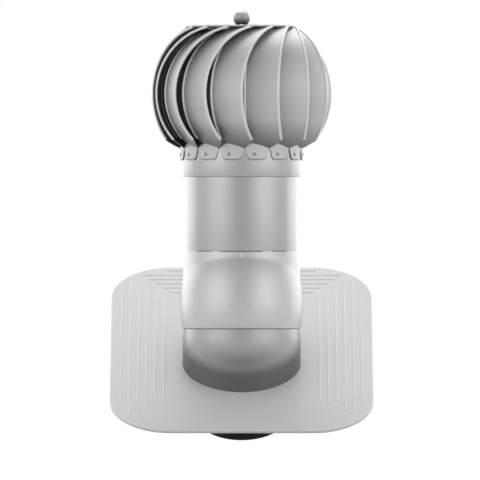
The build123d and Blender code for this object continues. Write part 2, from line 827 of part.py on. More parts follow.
with BuildPart() as foot_tab:
    with BuildSketch(radial_plane(0, tab_azimuth, 0)):
        with BuildLine():
            Polyline(
                (-tab_half_width, tab_notch_z),
                (-tab_foot_half, tab_foot_z),
                (tab_foot_half, tab_foot_z),
                (tab_half_width, tab_notch_z),
                (tab_peak_x, tab_peak_z),
                close=True,
            )
        make_face()
        fillet(vertices().group_by(Axis.Y)[0], tab_corner_r)
    extrude(amount=collar_r + trim_margin)
    with BuildSketch(level(tab_foot_z)):
        Circle(collar_r + tab_gap + vane_sheet_t)
        Circle(collar_r + tab_gap, mode=Mode.SUBTRACT)
    extrude(amount=2 * (tab_peak_z - tab_foot_z), mode=Mode.INTERSECT)

with BuildPart() as vane_reference:
    add(vane_blank.part)
    add(foot_tab.part)
    with Locations(radial_plane(collar_r, tab_rivet_azimuth, tab_rivet_z)):
        Cylinder(rivet_r + rivet_gap, cut_reach, mode=Mode.SUBTRACT)

for number in range(vane_count):
    with BuildPart() as vane:
        add(vane_reference.part.rotate(pipe_axis, number * full_turn / vane_count))
    finish(vane, f"vane_{number + 1:02d}")
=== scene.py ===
# %% [markdown]
# # Dressing a rotating chimney cowl
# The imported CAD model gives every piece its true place. This lesson builds smooth, finely
# divided meshes over the pieces that show, and gives each one a finish made of nodes.
# Everything is in metres, and each piece sits exactly where its CAD node is.

# %% Load the frame
import json
import math
import bmesh
import bpy
from mathutils import Matrix, Vector


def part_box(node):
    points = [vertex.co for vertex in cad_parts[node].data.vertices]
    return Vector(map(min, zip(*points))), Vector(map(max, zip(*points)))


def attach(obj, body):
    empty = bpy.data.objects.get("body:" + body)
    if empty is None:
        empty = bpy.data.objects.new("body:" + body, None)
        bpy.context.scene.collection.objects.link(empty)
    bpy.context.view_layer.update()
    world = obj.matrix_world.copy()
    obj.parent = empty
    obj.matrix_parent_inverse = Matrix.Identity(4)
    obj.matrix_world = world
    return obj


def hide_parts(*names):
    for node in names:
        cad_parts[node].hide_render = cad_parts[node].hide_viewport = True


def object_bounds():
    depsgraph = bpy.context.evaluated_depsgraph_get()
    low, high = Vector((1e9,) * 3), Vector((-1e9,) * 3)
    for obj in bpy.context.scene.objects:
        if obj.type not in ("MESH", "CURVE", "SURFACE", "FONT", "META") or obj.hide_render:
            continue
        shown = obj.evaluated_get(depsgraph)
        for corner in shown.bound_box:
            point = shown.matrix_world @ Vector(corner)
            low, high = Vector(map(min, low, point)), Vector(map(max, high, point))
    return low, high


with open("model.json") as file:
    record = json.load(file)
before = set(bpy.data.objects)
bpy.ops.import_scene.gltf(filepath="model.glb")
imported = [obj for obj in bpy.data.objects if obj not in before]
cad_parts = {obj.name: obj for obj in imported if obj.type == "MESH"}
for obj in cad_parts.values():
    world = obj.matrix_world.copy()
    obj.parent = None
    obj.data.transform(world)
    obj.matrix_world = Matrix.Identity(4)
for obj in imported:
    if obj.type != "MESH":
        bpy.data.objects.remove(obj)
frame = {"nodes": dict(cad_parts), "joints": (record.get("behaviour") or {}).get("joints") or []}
nodes = frame["nodes"]
cad_box = [list(corner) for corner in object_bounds()]
print("CAD box", cad_box)

# %% [markdown]
# ## Sizes
# The two joints tell where the dome's centre and the pipe's axis are, and the CAD nodes'
# boxes give the heights, so both follow the frame. The rest are the object's own sizes.

# %% Places and sizes
MM = 0.001
joints = {joint["name"]: joint for joint in frame["joints"]}
dome_centre = Vector(joints["pitch_tilt"]["pos_m"])
pipe_y = joints["rotor_spin"]["pos_m"][1]
pitch = math.radians(30)
roof_normal = Vector((0, -math.sin(pitch), math.cos(pitch)))
uphill = Vector((0, math.cos(pitch), math.sin(pitch)))
across = Vector((1, 0, 0))
upward = Vector((0, 0, 1))
origin = Vector((0, 0, 0))
pipe_r = 75.0 * MM
pipe_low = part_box("stack_pipe")[0].z
pipe_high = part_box("stack_pipe")[1].z
socket_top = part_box("hood")[1].z
hood_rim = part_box("hood")[0].z
collar_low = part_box("collar_ring")[0].z
collar_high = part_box("collar_ring")[1].z
disc_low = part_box("top_disc")[0].z
disc_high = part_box("top_disc")[1].z
knob_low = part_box("ball_knob")[0].z
print("pipe axis at y =", round(pipe_y, 4), "dome centre", dome_centre)

# %% [markdown]
# ## Shader arithmetic
# A finish is a small sum over a surface: a tone, times a fade, times a mark. Node by node such
# a sum is hard to read. So a socket is wrapped in a class whose operators each add one Math
# node, and `1 - mask` reads as it would on paper. Any other node comes from one method.

# %% A value that varies over a surface


class Value:
    """A socket that takes part in arithmetic."""

    def __init__(self, nodes, socket):
        self.nodes = nodes
        self.socket = socket

    def __add__(self, other):
        return self.nodes.maths("ADD", self, other)

    def __sub__(self, other):
        return self.nodes.maths("SUBTRACT", self, other)

    def __rsub__(self, other):
        return self.nodes.maths("SUBTRACT", other, self)

    def __mul__(self, other):
        return self.nodes.maths("MULTIPLY", self, other)

    __radd__ = __add__
    __rmul__ = __mul__


class Nodes:
    """A node tree, with one way to make any node in it."""

    def __init__(self, tree):
        self.tree = tree

    def node(self, kind, settings=None, inputs=None):
        """Any node: its settings first, then the values or links of its sockets."""
        made = self.tree.nodes.new(kind)
        for setting, choice in (settings or {}).items():
            setattr(made, setting, choice)
        for socket, given in (inputs or {}).items():
            if isinstance(given, Value):
                self.tree.links.new(given.socket, made.inputs[socket])
            else:
                made.inputs[socket].default_value = given
        return made

    def value(self, node, socket=0):
        """One of a node's outputs, ready for arithmetic."""
        return Value(self, node.outputs[socket])

    def maths(self, operation, first, second=0.0):
        """A Math node on two values or numbers."""
        return self.value(self.node("ShaderNodeMath", {"operation": operation}, {0: first, 1: second}))

    def eased(self, share, low, high):
        """Rises smoothly from 0 to 1 as a value goes from low to high."""
        ends = {"Value": share, "From Min": low, "From Max": high}
        return self.value(self.node("ShaderNodeMapRange", {"interpolation_type": "SMOOTHSTEP"}, ends))

    def ramp(self, share, stops):
        """A grey that follows (place, level) stops."""
        node = self.node("ShaderNodeValToRGB", inputs={"Fac": share})
        points = node.color_ramp.elements
        while len(points) < len(stops):
            points.new(0.5)
        for point, (place, level) in zip(points, stops):
            point.position = place
            point.color = (level, level, level, 1)
        return self.value(node)


class Finish(Nodes):
    """A material and the nodes that make it."""

    FACES_IN, FACES_OUT = -0.35, 0.05

    def __init__(self, name, **constants):
        self.material = bpy.data.materials.new(name)
        self.material.use_nodes = True
        super().__init__(self.material.node_tree)
        self.shader = self.tree.nodes["Principled BSDF"]
        for socket, number in constants.items():
            self.shader.inputs[socket.replace("_", " ")].default_value = number

    def vector(self, operation, *inputs):
        """A Vector Math node on the values or links that are given."""
        return self.node("ShaderNodeVectorMath", {"operation": operation}, dict(enumerate(inputs)))

    def place(self):
        """The point on the object, in metres."""
        return self.value(self.node("ShaderNodeTexCoord"), "Object")

    def stretched(self, scale):
        """The same point with each direction scaled, for streaks."""
        return self.value(self.vector("MULTIPLY", self.place(), scale))

    def noise(self, scale, detail=3.0, vector=None):
        """Cloudy noise from 0 to 1, with its scale in lumps a metre."""
        inputs = {"Vector": vector or self.place(), "Scale": scale, "Detail": detail}
        return self.value(self.node("ShaderNodeTexNoise", inputs=inputs), "Fac")

    def between(self, share, low, high):
        """Goes from low to high as a share goes from 0 to 1."""
        return share * (high - low) + low

    def faces_out(self):
        """1 where a face looks away from the pipe's axis, 0 where it looks towards it."""
        coordinates = self.node("ShaderNodeTexCoord")
        point = self.value(coordinates, "Object")
        flat = self.vector("MULTIPLY_ADD", point, (1, 1, 0), (0, -pipe_y, 0))
        ray = self.vector("NORMALIZE", self.value(flat))
        facing = self.vector("DOT_PRODUCT", self.value(ray), self.value(coordinates, "Normal"))
        return self.eased(self.value(facing, "Value"), self.FACES_IN, self.FACES_OUT)

    def mark(self, name):
        """A number kept on the mesh's points."""
        return self.value(self.node("ShaderNodeAttribute", {"attribute_name": name}), "Fac")

    def faded(self, axis, low, high, dark):
        """A factor that rises from a dark share to 1 along an axis, in metres."""
        along = self.vector("DOT_PRODUCT", self.place(), axis)
        return self.between(self.eased(self.value(along, "Value"), low, high), dark, 1)

    def bump(self, height, distance, strength):
        """A normal that follows a height, with its full depth in metres."""
        inputs = {"Height": height, "Distance": distance, "Strength": strength}
        return self.value(self.node("ShaderNodeBump", inputs=inputs))

    def feed(self, **links):
        """Links values to the shader and gives the finished material."""
        for socket, given in links.items():
            self.tree.links.new(given.socket, self.shader.inputs[socket.replace("_", " ")])
        return self.material


# %% [markdown]
# ## Coated sheet metal
# The vanes, the pipe, the collar and the disc are sheet with a satin powder coat: an even light
# grey with a very fine orange peel. One flat colour would look like paper, so slow clouds vary
# the tone and a fine noise makes the peel. Numbers kept on the mesh's own points tell where
# edges are folded, for a painted highlight, and where a painted shade darkens the vanes, which
# needs no unwrapping and no painted picture.

# %% Coated sheet metal
SHADE_DEPTH = 0.78
COAT_CLOUDS, COAT_SHEEN, COAT_PEEL = 14.0, 60.0, 1400.0
PEEL_DEPTH = 0.02 * MM
PEEL_STRENGTH = 0.35


def coated(name, level, roughness, metallic, inside=1.0, hem_highlight=0.0):
    """Satin powder coat with faint clouding and orange peel.

    Inside is the share of the tone left on faces that look at the rotor's axis: a painted
    shade for the rotor's dark inside. The next argument is how much brighter the marked folded
    edges are, a painted highlight, and the marked places beside a neighbour, at the vane's head
    and foot and along the tabs' edges get a painted shade.
    """
    finish = Finish(name, Metallic=metallic, Specular_IOR_Level=0.5)
    tone = finish.between(finish.noise(COAT_CLOUDS), 0.95 * level, 1.05 * level)
    # Painted shade: faces that look at the rotor's axis keep less of the tone, as the inside lies in
    # shade.
    if inside < 1:
        tone = tone * finish.between(finish.faces_out(), inside, 1)
    # Painted highlight on the folded hems, and painted shade on the marked places beside the next vane,
    # at the head, at the foot and along the tabs' edges.
    if hem_highlight:
        tone = tone * (finish.mark("folded") * hem_highlight + 1)
        tone = tone * (1 - finish.mark("painted_shade") * SHADE_DEPTH)
    return finish.feed(
        Base_Color=tone,
        Roughness=finish.between(finish.noise(COAT_SHEEN), roughness - 0.04, roughness + 0.04),
        Normal=finish.bump(finish.noise(COAT_PEEL, 2.0), PEEL_DEPTH, PEEL_STRENGTH),
    )


vane_coat = coated("vane_coating", level=0.71, roughness=0.46, metallic=0.45, inside=0.40, hem_highlight=0.24)
pipe_coat = coated("pipe_coating", level=0.55, roughness=0.25, metallic=1.0)
collar_coat = coated("collar_coating", level=0.58, roughness=0.25, metallic=1.0)
disc_coat = coated("disc_coating", level=0.60, roughness=0.42, metallic=0.6)
print("coats", len(bpy.data.materials))

# %% [markdown]
# ## Mouldings
# The plate, the dome and the hood are moulded, the last two in a plastic filled with metal
# flakes that shines like satin metal. Their grain is coarser than a coat's orange peel, and
# faint on the two satin ones. The dome's tone fades darker towards its foot along the plate's
# normal, and the hood's over its upper part: both are painted shade. The plate's rim and ribs
# are marked paler, a painted highlight. A painted picture could do that too, but a fade that is
# worked out from the point needs no unwrapping, and it follows the piece anywhere.

# %% Mouldings
MOULD_CLOUDS, MOULD_SHEEN, MOULD_GRAIN = 9.0, 90.0, 900.0
GRAIN_DEPTH = 0.04 * MM
GRAIN_STRENGTH = 0.15


def moulded(name, level, roughness, grain=1.0, metallic=0.0, fade=None, worn=0.0):
    """Satin plastic with the fine matt grain of its mould, some of it metal-filled.

    A fade is (axis, low, high, dark): the tone deepens to a dark share at the low end.
    The last argument is how much paler the marked rims and ribs are: a painted highlight.
    """
    finish = Finish(name, Metallic=metallic, Specular_IOR_Level=0.5)
    tone = finish.between(finish.noise(MOULD_CLOUDS), 0.97 * level, 1.03 * level)
    if fade:
        tone = tone * finish.faded(*fade)
    if worn:
        tone = tone * (finish.mark("worn") * worn + 1)
    return finish.feed(
        Base_Color=tone,
        Roughness=finish.between(finish.noise(MOULD_SHEEN), roughness - 0.05, roughness + 0.05),
        Normal=finish.bump(finish.noise(MOULD_GRAIN), GRAIN_DEPTH * grain, GRAIN_STRENGTH),
    )


SATIN = {"roughness": 0.32, "grain": 0.3}
# Painted shade: the hood is a little darker over its upper part than near its rim.
hood_fade = (-upward, -95 * MM, -55 * MM, 0.92)
# Painted shade: the neck's tone darkens towards the plate.
dome_fade = (roof_normal, 26 * MM, 50 * MM, 0.42)
plate_plastic = moulded("plate_moulding", level=0.79, roughness=0.48, worn=0.25)
hood_plastic = moulded("hood_moulding", level=0.74, metallic=0.9, fade=hood_fade, **SATIN)
dome_plastic = moulded("dome_moulding", level=0.53, metallic=0.8, fade=dome_fade, **SATIN)
black_plastic = moulded("spigot_moulding", level=0.10, roughness=0.42)
# Painted shadow: a near-black tone for the lip that darkens the gap behind the notches.
gap_shadow = moulded("gap_shadow", level=0.02, roughness=0.6)
pale_mark = moulded("pale_mark", level=0.95, roughness=0.45)
print("coats and mouldings", len(bpy.data.materials))

# %% [markdown]
# ## Bare steel
# The knob, the rivets, the washers and the inner pieces are bare or zinc-plated steel. An even
# grey metal would do from far off, but tool marks are what tells bare steel from a coat. So one
# noise, stretched the way the tool ran, varies tone, roughness and bump together.

# %% Bare steel
TOOL_MARK_DEPTH = 0.02 * MM
TOOL_MARK_STRENGTH = 0.3


def turned(name, level, roughness, streak, fade=None, metallic=1.0):
    """Bare steel with fine tool or brush marks running one way."""
    finish = Finish(name, Metallic=metallic)
    marks = finish.noise(1.0, 2.0, finish.stretched(streak))
    tone = finish.between(marks, 0.88 * level, 1.08 * level)
    if fade:
        tone = tone * finish.faded(*fade)
    return finish.feed(
        Base_Color=tone,
        Roughness=finish.between(marks, roughness - 0.09, roughness + 0.09),
        Normal=finish.bump(marks, TOOL_MARK_DEPTH, TOOL_MARK_STRENGTH),
    )


# Painted shade: the knob's tone darkens towards its foot.
knob_fade = (upward, knob_low, knob_low + 15 * MM, 0.10)
bright_steel = turned("bright_steel", level=0.62, roughness=0.28, streak=(40, 40, 1800))
zinc_steel = turned("zinc_plate", level=0.55, roughness=0.42, streak=(300, 300, 300))
knob_steel = turned("satin_knob", 0.60, 0.44, (60, 60, 1500), fade=knob_fade, metallic=0.7)
rivet_steel = turned("rivet_metal", level=0.42, roughness=0.24, streak=(600, 600, 600))
print("finishes", len(bpy.data.materials))

# %% [markdown]
# ## Making meshes
# Most of the cowl is turned or rolled. Such a shape is rows of points joined into a skin, so
# one helper joins rows, one rounds an outline's corners and one spins an outline about an axis.
# Rounded corners are worth their points: they are what catches the light on a real edge.

# %% Pieces
SMOOTH = math.radians(35)
WELD = 1e-6


def smooth(mesh):
    """Smooth shading that keeps the real edges sharp."""
    mesh.shade_smooth()
    mesh.set_sharp_from_angle(angle=SMOOTH)


def piece(name, body, slot, material, verts, faces, marks=None):
    """A mesh piece that rides on a body, smooth but for its real edges."""
    mesh = bpy.data.meshes.new(name)
    mesh.from_pydata([tuple(v) for v in verts], [], faces)
    for mark, shares in (marks or {}).items():
        mesh.attributes.new(mark, "FLOAT", "POINT").data.foreach_set("value", shares)
    bm = bmesh.new()
    bm.from_mesh(mesh)
    bmesh.ops.remove_doubles(bm, verts=bm.verts, dist=WELD)
    bmesh.ops.recalc_face_normals(bm, faces=bm.faces)
    bm.to_mesh(mesh)
    bm.free()
    smooth(mesh)
    mesh.materials.append(material)
    made = bpy.data.objects.new(name, mesh)
    bpy.context.scene.collection.objects.link(made)
    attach(made, body)
    print(name, "faces", len(mesh.polygons))
    return made


def skin(rows, closed=False):
    """Quads between ring-shaped rows of equal length; closed joins the last row to the first."""
    verts = [v for row in rows for v in row]
    width = len(rows[0])
    faces = []
    for r in range(len(rows) if closed else len(rows) - 1):
        a = r * width
        b = (r + 1) % len(rows) * width
        for c in range(width):
            d = (c + 1) % width
            faces.append((a + c, a + d, b + d, b + c))
    return verts, faces


def capped(rows):
    """A solid bar from its rows, with the first and the last row filled."""
    verts, faces = skin(rows)
    width = len(rows[0])
    faces.append(tuple(range(width))[::-1])
    faces.append(tuple(range(len(verts) - width, len(verts))))
    return verts, faces


def merged(parts):
    """Several sets of points and faces as one."""
    verts, faces = [], []
    for more_verts, more_faces in parts:
        start = len(verts)
        verts += more_verts
        faces += [tuple(i + start for i in face) for face in more_faces]
    return verts, faces


# %% Outlines and turned shapes
STRAIGHT = 1e-4


def rounded(corners, steps=5):
    """An outline from (x, y, radius) corners, each rounded with an arc."""
    points = []
    for k, (x, y, radius) in enumerate(corners):
        here = Vector((x, y))
        before = (Vector(corners[k - 1][:2]) - here).normalized()
        after = (Vector(corners[(k + 1) % len(corners)][:2]) - here).normalized()
        turn = before.angle(after)
        if radius <= 0 or abs(turn - math.pi) < STRAIGHT:
            points.append(here)
            continue
        reach = radius / math.tan(turn / 2)
        centre = here + (before + after).normalized() * radius / math.sin(turn / 2)
        first = here + before * reach - centre
        last = here + after * reach - centre
        sweep = first.angle_signed(last)
        for s in range(steps + 1):
            points.append(centre + Matrix.Rotation(-sweep * s / steps, 2) @ first)
    return points


def turned_rows(outline, centre, axis, side, steps):
    """Rows of a turned piece: outline points are (radius, height) along the axis."""
    other = axis.cross(side)
    angles = [2 * math.pi * s / steps for s in range(steps)]
    rays = [side * math.cos(angle) + other * math.sin(angle) for angle in angles]
    return [[centre + axis * height + ray * radius for ray in rays] for radius, height in outline]


def turned_piece(name, body, slot, material, corners, centre, steps=192, axis=upward):
    """A piece turned from an outline that closes on itself."""
    rows = turned_rows(rounded(corners), centre, axis, across, steps)
    return piece(name, body, slot, material, *skin(rows, closed=True))


# %% Cutting tools


def cut(target, verts, faces):
    """Cuts a throwaway solid out of a piece for good."""
    mesh = bpy.data.meshes.new("tool")
    mesh.from_pydata([tuple(v) for v in verts], [], faces)
    bm = bmesh.new()
    bm.from_mesh(mesh)
    bmesh.ops.recalc_face_normals(bm, faces=bm.faces)
    bm.to_mesh(mesh)
    bm.free()
    cutter = bpy.data.objects.new("tool", mesh)
    bpy.context.scene.collection.objects.link(cutter)
    modifier = target.modifiers.new("cut", "BOOLEAN")
    modifier.operation = "DIFFERENCE"
    modifier.solver = "EXACT"
    modifier.object = cutter
    graph = bpy.context.evaluated_depsgraph_get()
    target_mesh = bpy.data.meshes.new_from_object(target.evaluated_get(graph))
    target.modifiers.clear()
    target.data = target_mesh
    smooth(target_mesh)
    bpy.data.objects.remove(cutter)


def block(centre, half_axes):
    """The eight corners and six faces of a block from its centre and half axes."""
    a, b, c = half_axes
    signs = [(x, y, z) for x in (-1, 1) for y in (-1, 1) for z in (-1, 1)]
    verts = [centre + a * x + b * y + c * z for x, y, z in signs]
    faces = [(0, 1, 3, 2), (4, 6, 7, 5), (0, 4, 5, 1), (2, 3, 7, 6), (0, 2, 6, 4), (1, 5, 7, 3)]
    return verts, faces


# %% Places round the pipe


def on_pipe(height):
    """The point on the pipe's axis at a height."""
    return Vector((0, pipe_y, height))


def outward(azimuth):
    """A level direction; azimuth 0 is downhill, 90 is towards +X."""
    return Vector((math.sin(math.radians(azimuth)), -math.cos(math.radians(azimuth)), 0))


print("azimuth 90 points to", outward(90))

# %% [markdown]
# ## Camera
# The photograph looks level from far off, with no perspective to speak of, so the camera is
# far away with a very long lens. An orthographic camera would give nearly the same picture,
# but a long lens is what a photographer would use for so flat a view. The scale is the one that
# gives the pipe its real size, and the camera's place sets where the object is in the picture.

# %% Camera
IMAGE_WIDTH = 480
MM_PER_PIXEL = 4 / 3
CENTRE_LINE_PX = 241.65
ORIGIN_PX = 364.65
CAMERA_DISTANCE = 17.8
frame_width = IMAGE_WIDTH * MM_PER_PIXEL * MM
camera_data = bpy.data.cameras.new("camera")
camera_data.lens = camera_data.sensor_width * CAMERA_DISTANCE / frame_width
camera_data.clip_end = 100
camera = bpy.data.objects.new("camera", camera_data)
camera.location = (
    (IMAGE_WIDTH / 2 - CENTRE_LINE_PX) * MM_PER_PIXEL * MM,
    -CAMERA_DISTANCE,
    (ORIGIN_PX - IMAGE_WIDTH / 2) * MM_PER_PIXEL * MM,
)
camera.rotation_euler = (math.radians(90), 0, 0)
bpy.context.scene.collection.objects.link(camera)
bpy.context.scene.camera = camera
bpy.context.scene.view_settings.view_transform = "Standard"
print("lens", round(camera_data.lens), "mm")

# %% [markdown]
# ## Floor
# The photograph's ground is plain white. A white floor would light the undersides far too
# much, so the camera sees one that glows white, through Is Camera Ray, while every other ray
# meets a plain grey one. Its grey deepens near the object, as in the shade under a real one.

# %% Floor
FLOOR_GAP = 2 * MM
FLOOR_REACH = 4.0
FLOOR_GREYS = [(0.0, 0.25), (0.20, 0.28), (0.35, 0.50), (0.55, 0.80), (1.0, 0.85)]
FLOOR_WHITENESS = 0.95
FLOOR_GLOW = 1.05


def white_where_seen(tree, plain, white, share=1.0):
    """Shows the camera a white shader and every other ray a plain one."""
    seen = tree.value(tree.node("ShaderNodeLightPath"), "Is Camera Ray") * share
    return tree.node("ShaderNodeMixShader", inputs={0: seen, 1: plain, 2: white})


floor_z = cad_box[0][2] - FLOOR_GAP
floor_corners = [(x * FLOOR_REACH, y * FLOOR_REACH) for x, y in ((-1, -1), (1, -1), (1, 1), (-1, 1))]
floor_mesh = bpy.data.meshes.new("floor")
floor_mesh.from_pydata([(x, y, floor_z) for x, y in floor_corners], [], [(0, 1, 2, 3)])
floor = bpy.data.objects.new("floor", floor_mesh)
bpy.context.scene.collection.objects.link(floor)
floor_finish = Finish("pale_floor", Roughness=0.9)
distance = floor_finish.vector("LENGTH", floor_finish.place())
floor_finish.feed(Base_Color=floor_finish.ramp(floor_finish.value(distance, "Value"), FLOOR_GREYS))
glow = floor_finish.node("ShaderNodeEmission", inputs={"Strength": FLOOR_GLOW})
plain_floor = floor_finish.value(floor_finish.shader)
floor_mix = white_where_seen(floor_finish, plain_floor, floor_finish.value(glow), FLOOR_WHITENESS)
floor_out = floor_finish.tree.nodes["Material Output"]
floor_finish.tree.links.new(floor_mix.outputs[0], floor_out.inputs["Surface"])
floor_mesh.materials.append(floor_finish.material)
print("floor at z =", round(floor_z, 4))

# %% [markdown]
# ## Light
# The light is a ring-shaped studio made in the world: darker in front of the object, bright a
# little to either side and brightest behind. That gives the pipe its pair of soft vertical
# highlights, which rectangular lamps would draw with hard ends. One wide soft lamp above and a
# little behind marks the knob and the vanes' heads.

# %% Studio round the object
LEVEL_LIGHT = [
    (0.00, 0.56),
    (0.07, 0.64),
    (0.23, 1.14),
    (0.32, 1.10),
    (0.46, 0.78),
    (0.57, 0.78),
    (0.67, 1.35),
    (0.85, 1.55),
]
TOP_LIGHT = 0.42
TOP_BAND = (0.25, 0.80)
LOW_LIGHT = 0.30
LOW_BAND = (0.05, 0.70)
world = bpy.data.worlds.new("studio")
bpy.context.scene.world = world
world.use_nodes = True
studio = Nodes(world.node_tree)
direction = studio.value(studio.node("ShaderNodeTexCoord"), "Generated")
parts = studio.node("ShaderNodeSeparateXYZ", inputs={0: direction})
to_right, to_back, to_top = (studio.value(parts, k) for k in range(3))
half_turns = studio.maths("ABSOLUTE", studio.maths("ARCTAN2", to_right, to_back * -1)) * (1 / math.pi)
high = studio.eased(to_top, *TOP_BAND)
low = studio.eased(to_top * -1, *LOW_BAND)
light = studio.ramp(half_turns, LEVEL_LIGHT) * (1 - high) + high * TOP_LIGHT
light = light * (1 - low) + low * LOW_LIGHT
around = studio.tree.nodes["Background"]
around.inputs["Color"].default_value = (1, 1, 1, 1)
studio.tree.links.new(light.socket, around.inputs["Strength"])
backdrop = studio.node("ShaderNodeBackground", inputs={"Color": (1, 1, 1, 1), "Strength": 1.0})
world_mix = white_where_seen(studio, studio.value(around), studio.value(backdrop))
world_out = studio.tree.nodes["World Output"]
studio.tree.links.new(world_mix.outputs[0], world_out.inputs["Surface"])
print("world nodes", len(studio.tree.nodes))

# %% Lamp
LAMP_PLACE = Vector((0.0, 0.8, 1.9))
LAMP_TARGET = Vector((0, 0, 0.2))
LAMP_SIZE = 1.6
LAMP_WATTS = 16
lamp_data = bpy.data.lights.new("top_lamp", "AREA")
lamp_data.shape = "RECTANGLE"
lamp_data.size = LAMP_SIZE
lamp_data.size_y = LAMP_SIZE
lamp_data.energy = LAMP_WATTS
lamp = bpy.data.objects.new("top_lamp", lamp_data)
lamp.location = LAMP_PLACE
lamp.rotation_euler = (LAMP_TARGET - LAMP_PLACE).to_track_quat("-Z", "Y").to_euler()
bpy.context.scene.collection.objects.link(lamp)
print("lamp", lamp_data.energy, "W")

# %% [markdown]
# ## Roof plate
# The plate is a big moulding with rounded corners and six nested runs of low ribs, which lead
# water past the dome. Bevelling a cut-out plate would round its edge too, but stacked loops give
# the same edge with no modifier and no stray faces. Each rib is its own small stack of loops.

# %% Plate
PLATE_T = 4.0 * MM
PLATE_W = 350 * MM
PLATE_LOW, PLATE_HIGH = -178.5 * MM, 252.0 * MM
CORNER_R = 80 * MM
EDGE_R = 1.5 * MM
EDGE_STEPS = 5
CORNER_STEPS = 14
DOME_R = 78.7 * MM
DOME_WALL = 2.5 * MM
dome_bore_r = DOME_R - DOME_WALL


def on_roof(x, v, w):
    """A point from its place along the ridge, uphill and above the plate's underside."""
    return across * x + uphill * v + roof_normal * w


def plate_outline(inset):
    """Points round the plate, on the roof's plane."""
    half_width = PLATE_W / 2 - CORNER_R
    half_length = (PLATE_HIGH - PLATE_LOW) / 2 - CORNER_R
    middle = (PLATE_LOW + PLATE_HIGH) / 2
    radius = CORNER_R - inset
    loop = []
    for corner, (sx, sv) in enumerate(((1, 1), (-1, 1), (-1, -1), (1, -1))):
        for s in range(CORNER_STEPS + 1):
            angle = math.radians(90 * (corner + s / CORNER_STEPS))
            x = sx * half_width + radius * math.cos(angle)
            loop.append((x, middle + sv * half_length + radius * math.sin(angle)))
    return loop


edge_turns = [math.radians(90 * s / EDGE_STEPS) for s in range(EDGE_STEPS + 1)]
edge_rise = [(0, 0)]
edge_rise += [(EDGE_R * (1 - math.cos(a)), PLATE_T - EDGE_R + EDGE_R * math.sin(a)) for a in edge_turns]
plate_loops = [[on_roof(x, v, height) for x, v in plate_outline(inset)] for inset, height in edge_rise]
bore_loop = [Vector(point).normalized() * dome_bore_r for point in plate_outline(0)]
plate_loops += [[on_roof(*point, height) for point in bore_loop] for height in (PLATE_T, 0)]
plate_verts, plate_faces = skin(plate_loops, closed=True)
rim_points = (EDGE_STEPS + 1) * len(bore_loop)
rim_marks = [1.0] * rim_points + [0.0] * (len(plate_verts) - rim_points)
print("plate points", len(plate_verts))

# %% Ribs
RIB_R = 1.2 * MM
RIB_RISE = [(0, 3.6), (0, 4.45), (0.2, 4.8), (0.55, 4.97), (0.95, 5.0)]
RIB_STEPS = 20
RIB_PITCH = 11.45 * MM
RIB_STEP = 9.5 * MM
RIB_RUNS = 6
RUN_SIDE, RUN_TOP = 161.0 * MM, 242.4 * MM
RUN_LOW, RUN_HIGH, RUN_REACH = -137 * MM, 216 * MM, 134.2 * MM
OUTER_RUN = (-104 * MM, 185 * MM, 100.9 * MM)


def rib(x, v, length, along_ridge):
    """A low rounded rib: stacked stadium loops that close in towards the top."""
    quarter = RIB_STEPS // 4
    reach = length / 2 - RIB_R
    rows = []
    for inset, height in RIB_RISE:
        radius = RIB_R - inset * MM
        row = []
        for s in range(RIB_STEPS):
            angle = 2 * math.pi * s / RIB_STEPS
            a = radius * math.cos(angle) + (reach if s < quarter or s >= 3 * quarter else -reach)
            b = radius * math.sin(angle)
            place = (x + a, v + b) if along_ridge else (x + b, v + a)
            row.append(on_roof(*place, height * MM))
        rows.append(row)
    verts, faces = skin(rows)
    faces.append(tuple(range(len(verts) - RIB_STEPS, len(verts))))
    return verts, faces


plate_parts = [(plate_verts, plate_faces)]
for k in range(RIB_RUNS):
    step = (k - 1) * RIB_STEP
    low, high, reach = (RUN_LOW + step, RUN_HIGH - step, RUN_REACH - step) if k else OUTER_RUN
    for side in (-1, 1):
        x = side * (RUN_SIDE - RIB_PITCH * k)
        plate_parts.append(rib(x, (low + high) / 2, high - low, along_ridge=False))
    plate_parts.append(rib(0, RUN_TOP - RIB_PITCH * k, 2 * reach, along_ridge=True))
plate_mesh = merged(plate_parts)
print("plate and rib points", len(plate_mesh[0]))

# %% [markdown]
# ## Neck and dome
# The neck and the dome are one wall with the plate. The wall is turned about the plate's
# normal, and the mouth and the two clamp slots are cut out of it with booleans, because they
# follow other axes than the wall does. Rows of points could not follow three axes at once.

# %% Neck and dome
NECK_H = 36.4 * MM
DOME_STEPS = 192
ARC_STEPS = 48
FOOT_LIFT = 0.5 * MM
FLARE, SINK = 0.4 * MM, 0.3 * MM
arc = [math.radians(90 - 90 * s / ARC_STEPS) for s in range(ARC_STEPS + 1)]
dome_outline = [(DOME_R + FLARE, PLATE_T - SINK), (DOME_R, PLATE_T + FOOT_LIFT)]
dome_outline += [(DOME_R * math.sin(a), NECK_H + DOME_R * math.cos(a)) for a in arc]
dome_outline += [(dome_bore_r * math.sin(a), NECK_H + dome_bore_r * math.cos(a)) for a in arc[::-1]]
dome_outline += [(dome_bore_r, FOOT_LIFT)]
dome_rows = turned_rows(dome_outline, origin, roof_normal, across, DOME_STEPS)
dome = piece("dome_and_neck", "base", "moulded_plate", dome_plastic, *skin(dome_rows, closed=True))

# %% Mouth of the dome
MOUTH_DEPTH = 100 * MM
mouth_tilt = math.radians(7.5)
mouth_axis = Vector((0, -math.sin(mouth_tilt), math.cos(mouth_tilt)))
mouth_r = DOME_R * math.sin(math.radians(45))
mouth_outline = [(0, 0), (mouth_r, 0), (mouth_r, MOUTH_DEPTH), (0, MOUTH_DEPTH)]
cut(dome, *skin(turned_rows(mouth_outline, dome_centre, mouth_axis, across, steps=128)))
print("dome faces after the mouth", len(dome.data.polygons))

